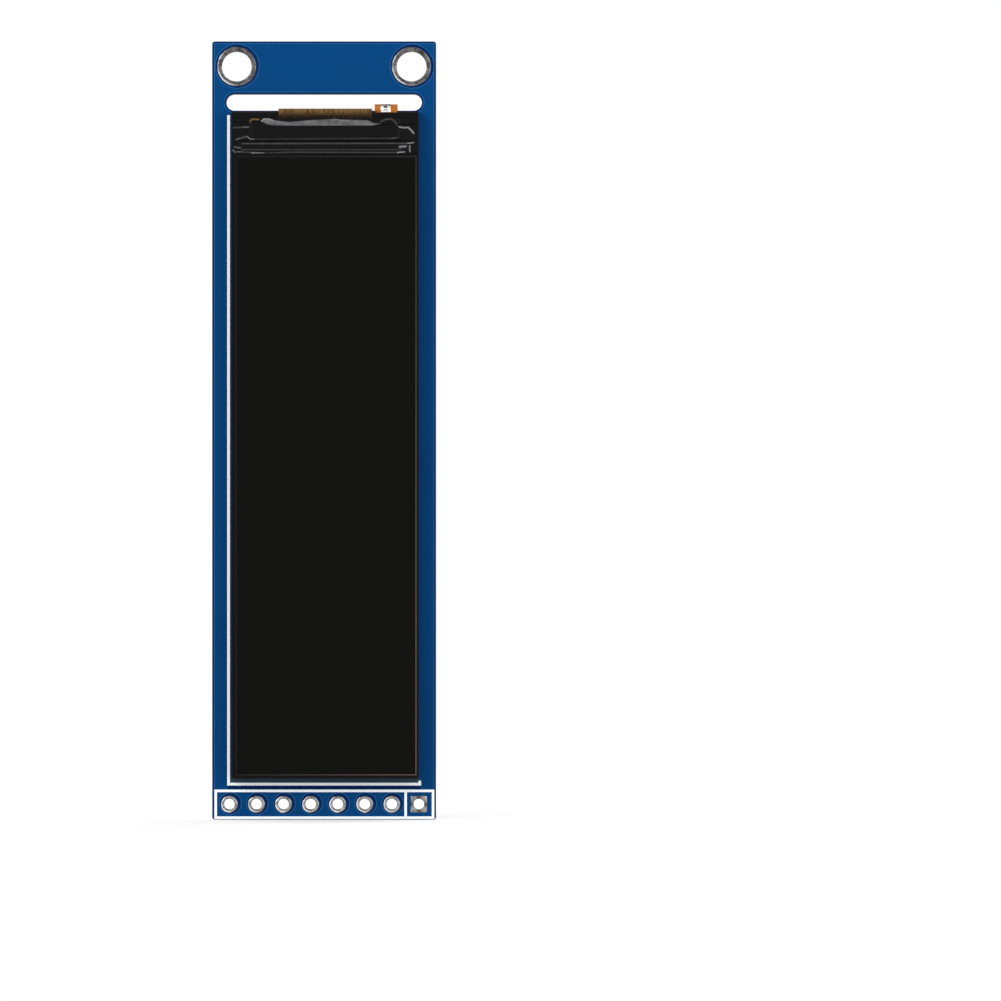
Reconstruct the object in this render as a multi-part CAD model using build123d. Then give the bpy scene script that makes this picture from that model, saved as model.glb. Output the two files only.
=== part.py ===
from build123d import *
import os

# A small colour display module: a bar-shaped LCD glued to the front of a circuit
# board, its flexible circuit folded back through a slot into a slide-lock connector.
# Millimetres. The origin is midway between the two mounting holes, on the board's
# front face. +X is right as seen from the front, +Z is up, and the display faces -Y.

# Board
board_thickness = 1.6
board_corner_radius = 0.25
mounting_hole_to_top = 2.35
plating_thickness = 0.04
land_thickness = 0.05

# Header holes along the bottom edge, which also set the board's width
pin_count = 8
pin_pitch = 2.54
pin_hole_diameter = 1.0
pin_ring_width = 0.3
pin_row_to_side = 1.61
pin_row_to_bottom = 1.45

# Mounting holes at the top corners
mounting_hole_diameter = 2.8
mounting_ring_width = 0.45
mounting_hole_to_side = 2.3

# Slot for the flexible circuit
slot_width = 1.55
slot_to_side = 1.325
mounting_hole_to_slot = 3.37

# Display outline
display_width = 17.6
display_height = 62.5
display_offset = 0.1
display_to_slot = 0.125
display_to_board_bottom = 3.88

# Display stack, from the board forward
adhesive_thickness = 0.15
adhesive_margin = 0.4
reflector_thickness = 0.08
guide_thickness = 0.55
diffuser_thickness = 0.06
prism_film_thickness = 0.07
frame_depth = 0.95
frame_wall = 0.75
frame_clearance = 0.05
rim_thickness = 0.06
polarizer_rear_thickness = 0.12
tft_thickness = 0.4
filter_thickness = 0.4
polarizer_front_thickness = 0.18
glass_margin = 0.1
polarizer_left_margin = 0.4
polarizer_right_margin = 0.15
polarizer_end_margin = 0.25

# Contact ledge of the glass, with the driver chip and the end of the flex
ledge_length = 3.88
driver_to_side = 0.95
driver_width = 0.85
driver_thickness = 0.3
driver_to_filter = 0.23
bond_to_side = 1.825
bond_length = 1.25
bond_to_driver = 0.36
tape_thickness = 0.05
tape_end_gap = 0.05
tape_to_edge = 0.63
tape_step_low = 0.27
tape_step_high = 0.07

# Backlight lamps and their own small flex
lamp_count = 4
lamp_length = 2.6
lamp_depth = 1.0
lamp_to_guide = 0.05
lamp_zone = 1.53
led_flex_thickness = 0.1
led_flex_overlap = 0.15
tail_fold_radius = 0.5
tail_rise = 0.585
tail_width = 2.13
tail_to_fold = 0.25
tail_length = 2.9
film_gap = 0.15

# Display flex
flex_thickness = 0.1
flex_fold_radius = 0.25
flex_fold_clearance = 0.05
flex_lift = 0.02
fold_width = 8.76
fold_offset = 0.12
head_width = 11.7
head_offset = 1.59
head_height = 5.71
head_below_fold = 0.34
neck_length = 0.7
head_corner_radius = 0.5
tail_corner_radius = 0.7
ramp_start = 3.0
ramp_end = 1.87
ramp_radius = 6.0
flex_hole_diameter = 0.55
flex_hole_spacing = 2.52
flex_hole_to_mouth = 1.78
stiffener_thickness = 0.2
stiffener_outside = 1.2
flex_width_allowance = 0.05

# Slide-lock connector, seen on the board's rear face
contact_count = 8
contact_pitch = 0.5
contact_width = 0.2
contact_thickness = 0.15
contact_slot_clearance = 0.03
contact_root_drop = 0.31
contact_tip_gap = 0.015
contact_tip_to_mouth = 1.65
contact_end_to_mouth = 1.05
contact_slot_to_mouth = 0.8
contact_end_drop = 0.1
contact_bend_radius = 0.1
connector_offset = 0.08
mounting_hole_to_connector = 21.47
housing_length = 3.81
housing_height = 2.0
housing_side_margin = 0.445
housing_floor = 0.66
housing_roof = 0.67
shoulder_width = 0.455
shoulder_height = 1.35
shoulder_edge_radius = 0.06
housing_edge_radius = 0.12
ear_to_shoulder = 0.12
mouth_depth = 2.93
mouth_side_clearance = 0.045
flex_in_mouth_clearance = 0.02
flex_end_clearance = 0.2
slider_clearance = 0.03
slider_to_stiffener = 0.06
tongue_wall = 0.3
tongue_to_mouth = 0.13
neck_to_shoulder = 0.24
ear_length = 2.38
ear_depth = 1.24
ear_gap = 0.175
ear_overhang = 0.28
ear_board_clearance = 0.12
ear_corner_radius = 0.3
ear_rise = 0.1
lead_foot_length = 1.15
lead_reach = 2.02
lead_rise = 0.25
anchor_thickness = 0.12
anchor_foot = 1.5
anchor_gap = 0.17
anchor_wall_gap = 0.01
anchor_to_back = -0.3
anchor_bend_radius = 0.1

# Small parts on the rear face
first_row_to_connector = 17.22
row_spacing = 6.1
chip_length = 1.6
chip_width = 0.8
chip_end_length = 0.32
chip_end_thickness = 0.03
coating_gap = 0.02
capacitor_height = 0.8
resistor_height = 0.5
coating_thickness = 0.02
capacitor_places = (5.55, 3.22, -2.89, -5.18)
resistor_places = (5.48, 3.19, -2.94, -5.24)
land_inner_gap = 0.75
chip_land_length = 0.85
chip_land_width = 0.9
regulator_place = 0.14
transistor_place = 0.28
package_length = 2.95
package_width = 1.3
package_height = 0.95
package_standoff = 0.1
package_draft = 6
lead_pitch = 0.95
lead_width = 0.42
lead_thickness = 0.12
lead_span = 2.5
lead_foot = 0.3
lead_root = 0.12
lead_bend_radius = 0.1
lead_to_land_end = 0.15
land_allowance = 0.1
package_land_width = 0.72
package_land_length = 0.95

# Places worked out from the sizes
board_width = (pin_count - 1) * pin_pitch + 2 * pin_row_to_side
mounting_hole_x = board_width / 2 - mounting_hole_to_side
slot_bottom = -mounting_hole_to_slot - slot_width / 2
display_top = slot_bottom - display_to_slot
display_bottom = display_top - display_height
board_bottom = display_bottom - display_to_board_bottom
pin_row = board_bottom + pin_row_to_bottom

frame_left = display_offset - display_width / 2
frame_right = display_offset + display_width / 2
window_left = frame_left + frame_wall
window_right = frame_right - frame_wall
window_top = display_top - frame_wall
window_bottom = display_bottom + frame_wall
guide_top = window_top - lamp_zone
film_top = guide_top - led_flex_overlap - film_gap
glass_left = frame_left + glass_margin
glass_right = frame_right - glass_margin
glass_top = display_top - glass_margin
glass_bottom = display_bottom + glass_margin
filter_top = glass_top - ledge_length
fold_left = fold_offset - fold_width / 2
fold_right = fold_offset + fold_width / 2
tail_left = fold_right + tail_to_fold
tail_right = tail_left + tail_width

adhesive_front = -adhesive_thickness
reflector_front = adhesive_front - reflector_thickness
guide_front = reflector_front - guide_thickness
diffuser_front = guide_front - diffuser_thickness
lower_prism_front = diffuser_front - prism_film_thickness
upper_prism_front = lower_prism_front - prism_film_thickness
frame_front = reflector_front - frame_depth
rim_front = frame_front - rim_thickness
tft_front = rim_front - tft_thickness
filter_front = tft_front - filter_thickness
face_front = filter_front - polarizer_front_thickness

driver_bottom = filter_top + driver_to_filter
driver_top = driver_bottom + driver_width
driver_front = tft_front - driver_thickness
bond_bottom = driver_top + bond_to_driver
bond_top = bond_bottom + bond_length
flex_front = tft_front - flex_thickness

flex_tail_width = (contact_count + 1) * contact_pitch - flex_width_allowance
head_back = board_thickness + led_flex_thickness + flex_lift
head_front = head_back + flex_thickness
fold_crest = slot_bottom + flex_fold_clearance + flex_thickness / 2
neck_top = fold_crest - flex_fold_radius
head_top = fold_crest - head_below_fold
head_bottom = head_top - head_height

mouth = -mounting_hole_to_connector
housing_back = mouth - housing_length
cavity_end = mouth - mouth_depth
cavity_floor = board_thickness + housing_floor
cavity_roof = board_thickness + housing_height - housing_roof
housing_half = (contact_count - 1) * contact_pitch / 2 + housing_side_margin
flex_half = flex_tail_width / 2
cavity_half = flex_half + mouth_side_clearance
shoulder_half = housing_half + shoulder_width
shoulder_top = board_thickness + shoulder_height
flex_entry = cavity_floor + flex_in_mouth_clearance
flex_end = cavity_end + flex_end_clearance
stiffener_back = flex_entry + flex_thickness
stiffener_front = stiffener_back + stiffener_thickness
tongue_back = stiffener_front + slider_to_stiffener
tongue_front = cavity_roof - slider_clearance
ear_start = mouth + ear_overhang
ear_end = ear_start - ear_depth
shoulder_start = ear_end - ear_to_shoulder
ear_inner = flex_half + ear_gap
tongue_half = housing_half - tongue_wall
contact_root = board_thickness + housing_floor - contact_root_drop
anchor_start = ear_end - anchor_gap
anchor_end = housing_back + anchor_to_back

land_face = board_thickness + land_thickness
first_row = housing_back - first_row_to_connector
second_row = first_row - row_spacing


def block(x, y, z):
    """A box between the two given limits along each axis."""
    size = Box(x[1] - x[0], y[1] - y[0], z[1] - z[0])
    return Pos((x[0] + x[1]) / 2, (y[0] + y[1]) / 2, (z[0] + z[1]) / 2) * size


def sheet(outline, y_from, y_to):
    """An outline in X and Z, given its thickness from y_from to the larger y_to."""
    face = Plane.XZ.offset(-y_to) * outline
    return extrude(face, amount=y_to - y_from, dir=(0, -1, 0))


def rectangle(left, right, bottom, top):
    """A rectangle between four edges."""
    return Pos((left + right) / 2, (bottom + top) / 2) * Rectangle(right - left, top - bottom)


def strip(path, thickness, left, right):
    """A bent strip: a line in Y and Z with a thickness, and a width along X."""
    face = Plane.YZ.offset(left) * trace(path, thickness)
    return extrude(face, amount=right - left, dir=(1, 0, 0))


def group(solids):
    """Like pieces kept as separate solids of one sub-part."""
    return Compound([solid for piece in solids for solid in piece.solids()])


def pin_places():
    """The header holes in order, pin 1 first, at the right seen from the front."""
    half = (pin_count - 1) * pin_pitch / 2
    return [half - index * pin_pitch for index in range(pin_count)]


def drilled(diameter):
    """The drill that a plated hole needs: its finished size and two walls of plating."""
    return diameter + 2 * plating_thickness


def printed_circuit_board():
    """The bare board, with its corners, slot and drilled holes."""
    outline = rectangle(-board_width / 2, board_width / 2, board_bottom, mounting_hole_to_top)
    outline = fillet(outline.vertices(), board_corner_radius)
    slot = SlotOverall(board_width - 2 * slot_to_side, slot_width)
    outline -= Pos(0, -mounting_hole_to_slot) * slot
    for x in (-mounting_hole_x, mounting_hole_x):
        outline -= Pos(x, 0) * Circle(drilled(mounting_hole_diameter) / 2)
    for x in pin_places():
        outline -= Pos(x, pin_row) * Circle(drilled(pin_hole_diameter) / 2)
    return sheet(outline, 0, board_thickness)


def plated_hole(x, z, diameter, ring_width, square=False):
    """A tinned barrel through the board with a ring, or a square pad, on each face."""
    ring = diameter + 2 * ring_width
    pad = Rectangle(ring, ring) if square else Circle(ring / 2)
    barrel = Circle(drilled(diameter) / 2)
    bore = Circle(diameter / 2)
    at = Pos(x, z)
    body = sheet(at * (barrel - bore), -plating_thickness, board_thickness + plating_thickness)
    for face in (-plating_thickness, board_thickness):
        body += sheet(at * (pad - bore), face, face + plating_thickness)
    return body


def mounting_hole_plating():
    return group(
        plated_hole(x, 0, mounting_hole_diameter, mounting_ring_width)
        for x in (-mounting_hole_x, mounting_hole_x)
    )


def header_hole_plating():
    """Eight holes for a 2.54 mm header: the first has the square pad."""
    return group(
        plated_hole(x, pin_row, pin_hole_diameter, pin_ring_width, square=index == 0)
        for index, x in enumerate(pin_places())
    )


def display_adhesive():
    outline = rectangle(
        frame_left + adhesive_margin,
        frame_right - adhesive_margin,
        display_bottom + adhesive_margin,
        display_top - adhesive_margin,
    )
    return sheet(outline, adhesive_front, 0)


def reflector_film():
    outline = rectangle(glass_left, glass_right, glass_bottom, glass_top)
    return sheet(outline, reflector_front, adhesive_front)


def backlight_frame():
    """A moulded rim round the optical stack, notched at the top for the lamps' flex."""
    outer = rectangle(frame_left, frame_right, display_bottom, display_top)
    window = rectangle(window_left, window_right, window_bottom, window_top)
    frame = sheet(outer - window, frame_front, reflector_front)
    notch = block(
        (tail_left - frame_clearance, tail_right + frame_clearance),
        (frame_front - frame_wall, guide_front + frame_clearance / 2),
        (window_top - frame_wall, display_top + frame_wall),
    )
    return frame - notch


def light_guide():
    outline = rectangle(
        window_left + frame_clearance,
        window_right - frame_clearance,
        window_bottom + frame_clearance,
        guide_top,
    )
    return sheet(outline, guide_front, reflector_front)


def optical_film(y_from, y_to):
    """One loose film on the light guide, held by the frame."""
    outline = rectangle(
        window_left + frame_clearance,
        window_right - frame_clearance,
        window_bottom + frame_clearance,
        film_top,
    )
    return sheet(outline, y_from, y_to)


def backlight_leds():
    """Side-firing lamps on the underside of their flex, against the guide's edge."""
    bottom = guide_top + lamp_to_guide
    pitch = (window_right - window_left) / lamp_count
    middles = [window_left + (index + 0.5) * pitch for index in range(lamp_count)]
    return group(
        block(
            (x - lamp_length / 2, x + lamp_length / 2),
            (guide_front, reflector_front),
            (bottom, bottom + lamp_depth),
        )
        for x in middles
    )


def led_flex():
    """The lamps' strip, and its tail, folded through the slot under the display flex."""
    middle = guide_front - led_flex_thickness / 2
    strip_zone = sheet(
        rectangle(
            window_left + frame_clearance,
            window_right - frame_clearance,
            guide_top - led_flex_overlap,
            window_top - frame_clearance,
        ),
        guide_front - led_flex_thickness,
        guide_front,
    )
    rear = board_thickness + flex_lift / 2 + led_flex_thickness / 2
    crest = slot_bottom + tail_rise - led_flex_thickness / 2
    path = FilletPolyline(
        (middle, guide_top),
        (middle, crest),
        (rear, crest),
        (rear, crest - tail_length),
        radius=tail_fold_radius,
    )
    return strip_zone + strip(path, led_flex_thickness, tail_left, tail_right)


def rim_tape():
    """A thin adhesive rim on the frame, wide at the ledge end, that carries the glass."""
    outer = rectangle(glass_left, glass_right, glass_bottom, glass_top)
    window = rectangle(window_left, window_right, window_bottom, filter_top)
    return sheet(outer - window, rim_front, frame_front)


def rear_polarizer():
    outline = rectangle(
        window_left + frame_clearance,
        window_right - frame_clearance,
        window_bottom + frame_clearance,
        filter_top - frame_clearance,
    )
    return sheet(outline, rim_front, rim_front + polarizer_rear_thickness)


def tft_glass():
    outline = rectangle(glass_left, glass_right, glass_bottom, glass_top)
    return sheet(outline, tft_front, rim_front)


def filter_glass():
    outline = rectangle(glass_left, glass_right, glass_bottom, filter_top)
    return sheet(outline, filter_front, tft_front)


def front_polarizer():
    outline = rectangle(
        glass_left + polarizer_left_margin,
        glass_right - polarizer_right_margin,
        glass_bottom + polarizer_end_margin,
        filter_top - polarizer_end_margin,
    )
    return sheet(outline, face_front, filter_front)


def driver_chip():
    left = glass_left + driver_to_side
    right = glass_right - driver_to_side
    outline = rectangle(left, right, driver_bottom, driver_top)
    return sheet(outline, driver_front, tft_front)


def shading_tape():
    """Black tape laid over the flex's bond and the driver chip, stepped between them."""
    top = display_top - tape_to_edge
    on_flex = flex_front - tape_thickness / 2
    on_driver = driver_front - tape_thickness / 2
    path = Polyline(
        (on_flex, top),
        (on_flex, driver_top + tape_step_low),
        (on_driver, driver_top + tape_step_high),
        (on_driver, filter_top + tape_end_gap),
    )
    return strip(path, tape_thickness, glass_left, glass_right)


def bond_end():
    """The flex's front end: wide where it is bonded, necked down to the fold."""
    neck = rectangle(fold_left, fold_right, bond_bottom, neck_top - neck_length / 2)
    bond = rectangle(glass_left + bond_to_side, glass_right - bond_to_side, bond_bottom, bond_top)
    return sheet(bond + neck, flex_front, tft_front)


def flex_head():
    """The wide head on the rear face, filleted into the narrow tail."""
    head = rectangle(head_offset - head_width / 2, head_offset + head_width / 2, head_bottom, head_top)
    tail = rectangle(
        connector_offset - flex_half,
        connector_offset + flex_half,
        head_bottom - ramp_start,
        head_bottom + head_corner_radius,
    )
    outline = head + tail
    outer = outline.vertices().sort_by(Axis.X)[:2] + outline.vertices().sort_by(Axis.X)[-2:]
    outline = fillet(outer, head_corner_radius)
    inner = outline.vertices().group_by(Axis.Y)[1]
    nearest = inner.sort_by_distance((connector_offset, head_bottom))[:2]
    outline = fillet(nearest, tail_corner_radius)
    return sheet(outline, head_back, head_front)


def display_flex():
    """One flexible circuit from the glass ledge, round the edge, to the connector."""
    front_middle = tft_front - flex_thickness / 2
    rear_middle = head_back + flex_thickness / 2
    entry_middle = flex_entry + flex_thickness / 2
    fold = FilletPolyline(
        (front_middle, neck_top - neck_length),
        (front_middle, fold_crest),
        (rear_middle, fold_crest),
        (rear_middle, neck_top - neck_length),
        radius=flex_fold_radius,
    )
    ramp = FilletPolyline(
        (rear_middle, head_bottom - ramp_start / 3),
        (rear_middle, head_bottom - ramp_start),
        (entry_middle, mouth + ramp_end),
        (entry_middle, flex_end),
        radius=ramp_radius,
    )
    flex = bond_end() + strip(fold, flex_thickness, fold_left, fold_right)
    flex += flex_head()
    flex += strip(ramp, flex_thickness, connector_offset - flex_half, connector_offset + flex_half)
    for step in range(2):
        drill = Cylinder(flex_hole_diameter / 2, 2 * housing_height, rotation=(90, 0, 0))
        height = mouth + flex_hole_to_mouth + step * flex_hole_spacing
        flex -= Pos(connector_offset, flex_entry, height) * drill
    return flex


def flex_stiffener():
    """A stiff film on the outer side of the flex's end, so that it slides in flat."""
    outline = rectangle(
        connector_offset - flex_half,
        connector_offset + flex_half,
        flex_end,
        mouth + stiffener_outside,
    )
    return sheet(outline, stiffener_back, stiffener_front)


def contact_places():
    half = (contact_count - 1) * contact_pitch / 2
    return [connector_offset - half + index * contact_pitch for index in range(contact_count)]


def contact_line():
    """One contact from its soldered foot to the sprung tip under the flex."""
    foot = land_face + contact_thickness / 2
    tip = flex_entry - contact_thickness / 2 - contact_tip_gap
    end = housing_back - lead_reach
    return FilletPolyline(
        (foot, end),
        (foot, end + lead_foot_length),
        (contact_root, housing_back - lead_rise),
        (contact_root, cavity_end + flex_end_clearance),
        (tip, mouth - contact_tip_to_mouth),
        (tip - contact_end_drop, mouth - contact_end_to_mouth),
        radius=contact_bend_radius,
    )


def connector_housing():
    """The moulded body: a floor and a roof, open at the mouth, with a slot per contact."""
    x = connector_offset
    roof_block = block(
        (x - housing_half, x + housing_half),
        (board_thickness, board_thickness + housing_height),
        (housing_back, mouth),
    )
    roof_block = fillet(roof_block.faces().sort_by(Axis.Y)[-1].edges(), housing_edge_radius)
    shoulders = block(
        (x - shoulder_half, x + shoulder_half),
        (board_thickness, shoulder_top),
        (housing_back, shoulder_start),
    )
    shoulders = fillet(shoulders.edges().filter_by(Axis.Z).group_by(Axis.Y)[-1], shoulder_edge_radius)
    flex_space = block(
        (x - cavity_half, x + cavity_half),
        (cavity_floor, tongue_back - slider_clearance),
        (cavity_end, ear_start),
    )
    tongue_space = block(
        (x - tongue_half - slider_clearance, x + tongue_half + slider_clearance),
        (cavity_floor, cavity_roof),
        (cavity_end, ear_start),
    )
    neck_space = block(
        (x - shoulder_half, x + shoulder_half),
        (cavity_floor, cavity_roof),
        (shoulder_start, ear_start),
    )
    housing = roof_block + shoulders - flex_space - tongue_space - neck_space
    half = contact_width / 2 + contact_slot_clearance
    for place in contact_places():
        housing -= block(
            (place - half, place + half),
            (contact_root - contact_thickness / 2, cavity_floor),
            (housing_back, mouth - contact_slot_to_mouth),
        )
    return housing


def connector_slider():
    """The locking slider: a tongue over the flex and an ear at each side to pull."""
    x = connector_offset
    tongue_start = mouth - tongue_to_mouth
    slider = block(
        (x - tongue_half, x + tongue_half),
        (tongue_back, tongue_front),
        (cavity_end + flex_end_clearance, tongue_start),
    )
    slider += block(
        (x - ear_inner - ear_corner_radius, x + ear_inner + ear_corner_radius),
        (tongue_back, tongue_front),
        (shoulder_start + neck_to_shoulder, tongue_start),
    )
    for inner, outer in ((-ear_inner - ear_length, -ear_inner), (ear_inner, ear_inner + ear_length)):
        outline = fillet(rectangle(x + inner, x + outer, ear_end, ear_start).vertices(), ear_corner_radius)
        slider += sheet(outline, board_thickness + ear_board_clearance, tongue_front + ear_rise)
    return slider


def connector_contacts():
    return group(
        strip(contact_line(), contact_thickness, place - contact_width / 2, place + contact_width / 2)
        for place in contact_places()
    )


def connector_anchors():
    """A tinned strip at each side: a lip on the shoulder and a foot on the board."""
    anchors = []
    wall = shoulder_half + anchor_wall_gap + anchor_thickness / 2
    for side in (-1, 1):
        path = FilletPolyline(
            (connector_offset + side * (housing_half + anchor_wall_gap), shoulder_top + anchor_thickness / 2),
            (connector_offset + side * wall, shoulder_top + anchor_thickness / 2),
            (connector_offset + side * wall, land_face + anchor_thickness / 2),
            (connector_offset + side * (wall + anchor_foot), land_face + anchor_thickness / 2),
            radius=anchor_bend_radius,
        )
        face = Plane.XY.offset(anchor_end) * trace(path, anchor_thickness)
        anchors.append(extrude(face, amount=anchor_start - anchor_end, dir=(0, 0, 1)))
    return group(anchors)


def chip_ends(x, z, height, open_sides):
    """Two metal ends round a chip: cups on a capacitor, channels on a resistor."""
    reach = chip_width if open_sides else chip_width / 2 - chip_end_thickness
    core = block(
        (x - reach, x + reach),
        (land_face + chip_end_thickness, land_face + height - chip_end_thickness),
        (z - chip_length / 2 + chip_end_thickness, z + chip_length / 2 - chip_end_thickness),
    )
    ends = []
    for side in (-1, 1):
        tip = z + side * chip_length / 2
        span = sorted((tip, tip - side * chip_end_length))
        end = block((x - chip_width / 2, x + chip_width / 2), (land_face, land_face + height), span)
        ends.append(end - core)
    return group(ends)


def chip_body(x, z, height):
    """The ceramic between and inside the two metal ends."""
    return block(
        (x - chip_width / 2 + chip_end_thickness, x + chip_width / 2 - chip_end_thickness),
        (land_face + chip_end_thickness, land_face + height - chip_end_thickness),
        (z - chip_length / 2 + chip_end_thickness, z + chip_length / 2 - chip_end_thickness),
    )


def resistor_coating(x, z):
    """The black glaze over the resistive film, between the two ends."""
    back = land_face + resistor_height - chip_end_thickness
    half = chip_length / 2 - chip_end_length - coating_gap
    width = chip_width / 2 - chip_end_thickness
    return block((x - width, x + width), (back, back + coating_thickness), (z - half, z + half))


def package_body(x, z):
    """A moulded three-lead package, drafted both ways from its parting line."""
    outline = rectangle(
        x - package_length / 2, x + package_length / 2, z - package_width / 2, z + package_width / 2
    )
    parting = board_thickness + package_standoff + package_height / 2
    face = Plane.XZ.offset(-parting) * outline
    upper = extrude(face, amount=package_height / 2, dir=(0, 1, 0), taper=package_draft)
    lower = extrude(face, amount=package_height / 2, dir=(0, -1, 0), taper=package_draft)
    return upper + lower


def package_leads(x, z):
    """Two gull-wing leads at the top and one at the bottom."""
    parting = board_thickness + package_standoff + package_height / 2
    foot = land_face + lead_thickness / 2
    leads = []
    for offset, side in ((-lead_pitch, 1), (lead_pitch, 1), (0, -1)):
        path = FilletPolyline(
            (foot, z + side * lead_span / 2),
            (foot, z + side * (lead_span / 2 - lead_foot)),
            (parting, z + side * (package_width / 2 + lead_root)),
            (parting, z + side * package_width / 2),
            radius=lead_bend_radius,
        )
        left = x + offset - lead_width / 2
        leads.append(strip(path, lead_thickness, left, left + lead_width))
    return group(leads)


def land(x, z, width, length):
    """One tinned copper land on the rear face."""
    outline = rectangle(x - width / 2, x + width / 2, z - length / 2, z + length / 2)
    return sheet(outline, board_thickness, land_face)


def solder_lands():
    """The lands of the chips, the two packages and the connector."""
    lands = []
    step = (land_inner_gap + chip_land_length) / 2
    for places, row in ((capacitor_places, first_row), (resistor_places, second_row)):
        for x in places:
            lands += [land(x, row + side * step, chip_land_width, chip_land_length) for side in (-1, 1)]
    reach = lead_span / 2 + lead_to_land_end - package_land_length / 2
    for x, row in ((regulator_place, first_row), (transistor_place, second_row)):
        for offset, side in ((-lead_pitch, 1), (lead_pitch, 1), (0, -1)):
            lands.append(land(x + offset, row + side * reach, package_land_width, package_land_length))
    lead_middle = housing_back - lead_reach + lead_foot_length / 2
    for x in contact_places():
        lands.append(land(x, lead_middle, contact_width + land_allowance, lead_foot_length + land_allowance))
    height = anchor_start - anchor_end + land_allowance
    middle = shoulder_half + anchor_wall_gap + anchor_thickness + anchor_foot / 2
    for side in (-1, 1):
        x = connector_offset + side * middle
        lands.append(land(x, (anchor_start + anchor_end) / 2, anchor_foot + land_allowance, height))
    return group(lands)


parts = {
    "printed_circuit_board": printed_circuit_board(),
    "mounting_hole_plating": mounting_hole_plating(),
    "header_hole_plating": header_hole_plating(),
    "solder_lands": solder_lands(),
    "display_adhesive": display_adhesive(),
    "reflector_film": reflector_film(),
    "backlight_frame": backlight_frame(),
    "light_guide": light_guide(),
    "diffuser_film": optical_film(diffuser_front, guide_front),
    "lower_prism_film": optical_film(lower_prism_front, diffuser_front),
    "upper_prism_film": optical_film(upper_prism_front, lower_prism_front),
    "backlight_leds": backlight_leds(),
    "led_flex": led_flex(),
    "rim_tape": rim_tape(),
    "rear_polarizer": rear_polarizer(),
    "tft_glass": tft_glass(),
    "filter_glass": filter_glass(),
    "front_polarizer": front_polarizer(),
    "driver_chip": driver_chip(),
    "shading_tape": shading_tape(),
    "display_flex": display_flex(),
    "flex_stiffener": flex_stiffener(),
    "connector_housing": connector_housing(),
    "connector_slider": connector_slider(),
    "connector_contacts": connector_contacts(),
    "connector_anchors": connector_anchors(),
    "regulator_body": package_body(regulator_place, first_row),
    "regulator_leads": package_leads(regulator_place, first_row),
    "transistor_body": package_body(transistor_place, second_row),
    "transistor_leads": package_leads(transistor_place, second_row),
}
for number, x in enumerate(capacitor_places, start=1):
    parts[f"capacitor_{number}_body"] = chip_body(x, first_row, capacitor_height)
    parts[f"capacitor_{number}_ends"] = chip_ends(x, first_row, capacitor_height, False)
for number, x in enumerate(resistor_places, start=1):
    parts[f"resistor_{number}_body"] = chip_body(x, second_row, resistor_height)
    parts[f"resistor_{number}_ends"] = chip_ends(x, second_row, resistor_height, True)
    parts[f"resistor_{number}_coating"] = resistor_coating(x, second_row)

os.makedirs("parts", exist_ok=True)
for name, shape in parts.items():
    export_step(shape, f"parts/{name}.step")
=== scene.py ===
import math
from functools import partialmethod

import bpy
import numpy as np
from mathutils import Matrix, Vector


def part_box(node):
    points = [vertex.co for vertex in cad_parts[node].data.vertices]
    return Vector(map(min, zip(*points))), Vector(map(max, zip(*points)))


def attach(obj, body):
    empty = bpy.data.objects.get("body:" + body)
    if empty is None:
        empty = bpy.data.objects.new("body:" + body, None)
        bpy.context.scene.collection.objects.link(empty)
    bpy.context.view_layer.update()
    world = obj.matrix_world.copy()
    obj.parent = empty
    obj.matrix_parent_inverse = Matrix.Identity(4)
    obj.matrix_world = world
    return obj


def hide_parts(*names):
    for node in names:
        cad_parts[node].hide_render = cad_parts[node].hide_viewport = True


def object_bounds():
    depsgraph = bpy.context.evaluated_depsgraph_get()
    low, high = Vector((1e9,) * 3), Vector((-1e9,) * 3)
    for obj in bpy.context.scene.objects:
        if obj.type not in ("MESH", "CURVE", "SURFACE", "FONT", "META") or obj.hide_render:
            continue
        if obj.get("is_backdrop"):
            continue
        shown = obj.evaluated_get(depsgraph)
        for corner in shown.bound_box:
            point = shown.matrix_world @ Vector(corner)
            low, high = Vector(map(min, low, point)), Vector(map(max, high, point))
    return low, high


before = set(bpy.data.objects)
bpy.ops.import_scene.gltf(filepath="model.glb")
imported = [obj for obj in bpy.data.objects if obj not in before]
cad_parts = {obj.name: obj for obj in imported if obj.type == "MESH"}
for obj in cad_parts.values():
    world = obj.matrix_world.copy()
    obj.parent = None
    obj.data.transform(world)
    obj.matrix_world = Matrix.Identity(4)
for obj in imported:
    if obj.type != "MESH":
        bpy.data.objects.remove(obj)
cad_box = [list(corner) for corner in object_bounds()]


# Circuit board: glass-epoxy laminate, 1.6 mm thick, with copper on both faces under glossy
# blue solder mask. It was routed out of a panel, so its side walls show the bare laminate.
def srgb(red, green, blue):
    """A colour given in steps of 0 to 255, as the linear values that a shader takes."""
    steps = np.array([red, green, blue]) / 255
    linear = np.where(steps > 0.04045, ((steps + 0.055) / 1.055) ** 2.4, steps / 12.92)
    return (*linear.tolist(), 1.0)


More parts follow.
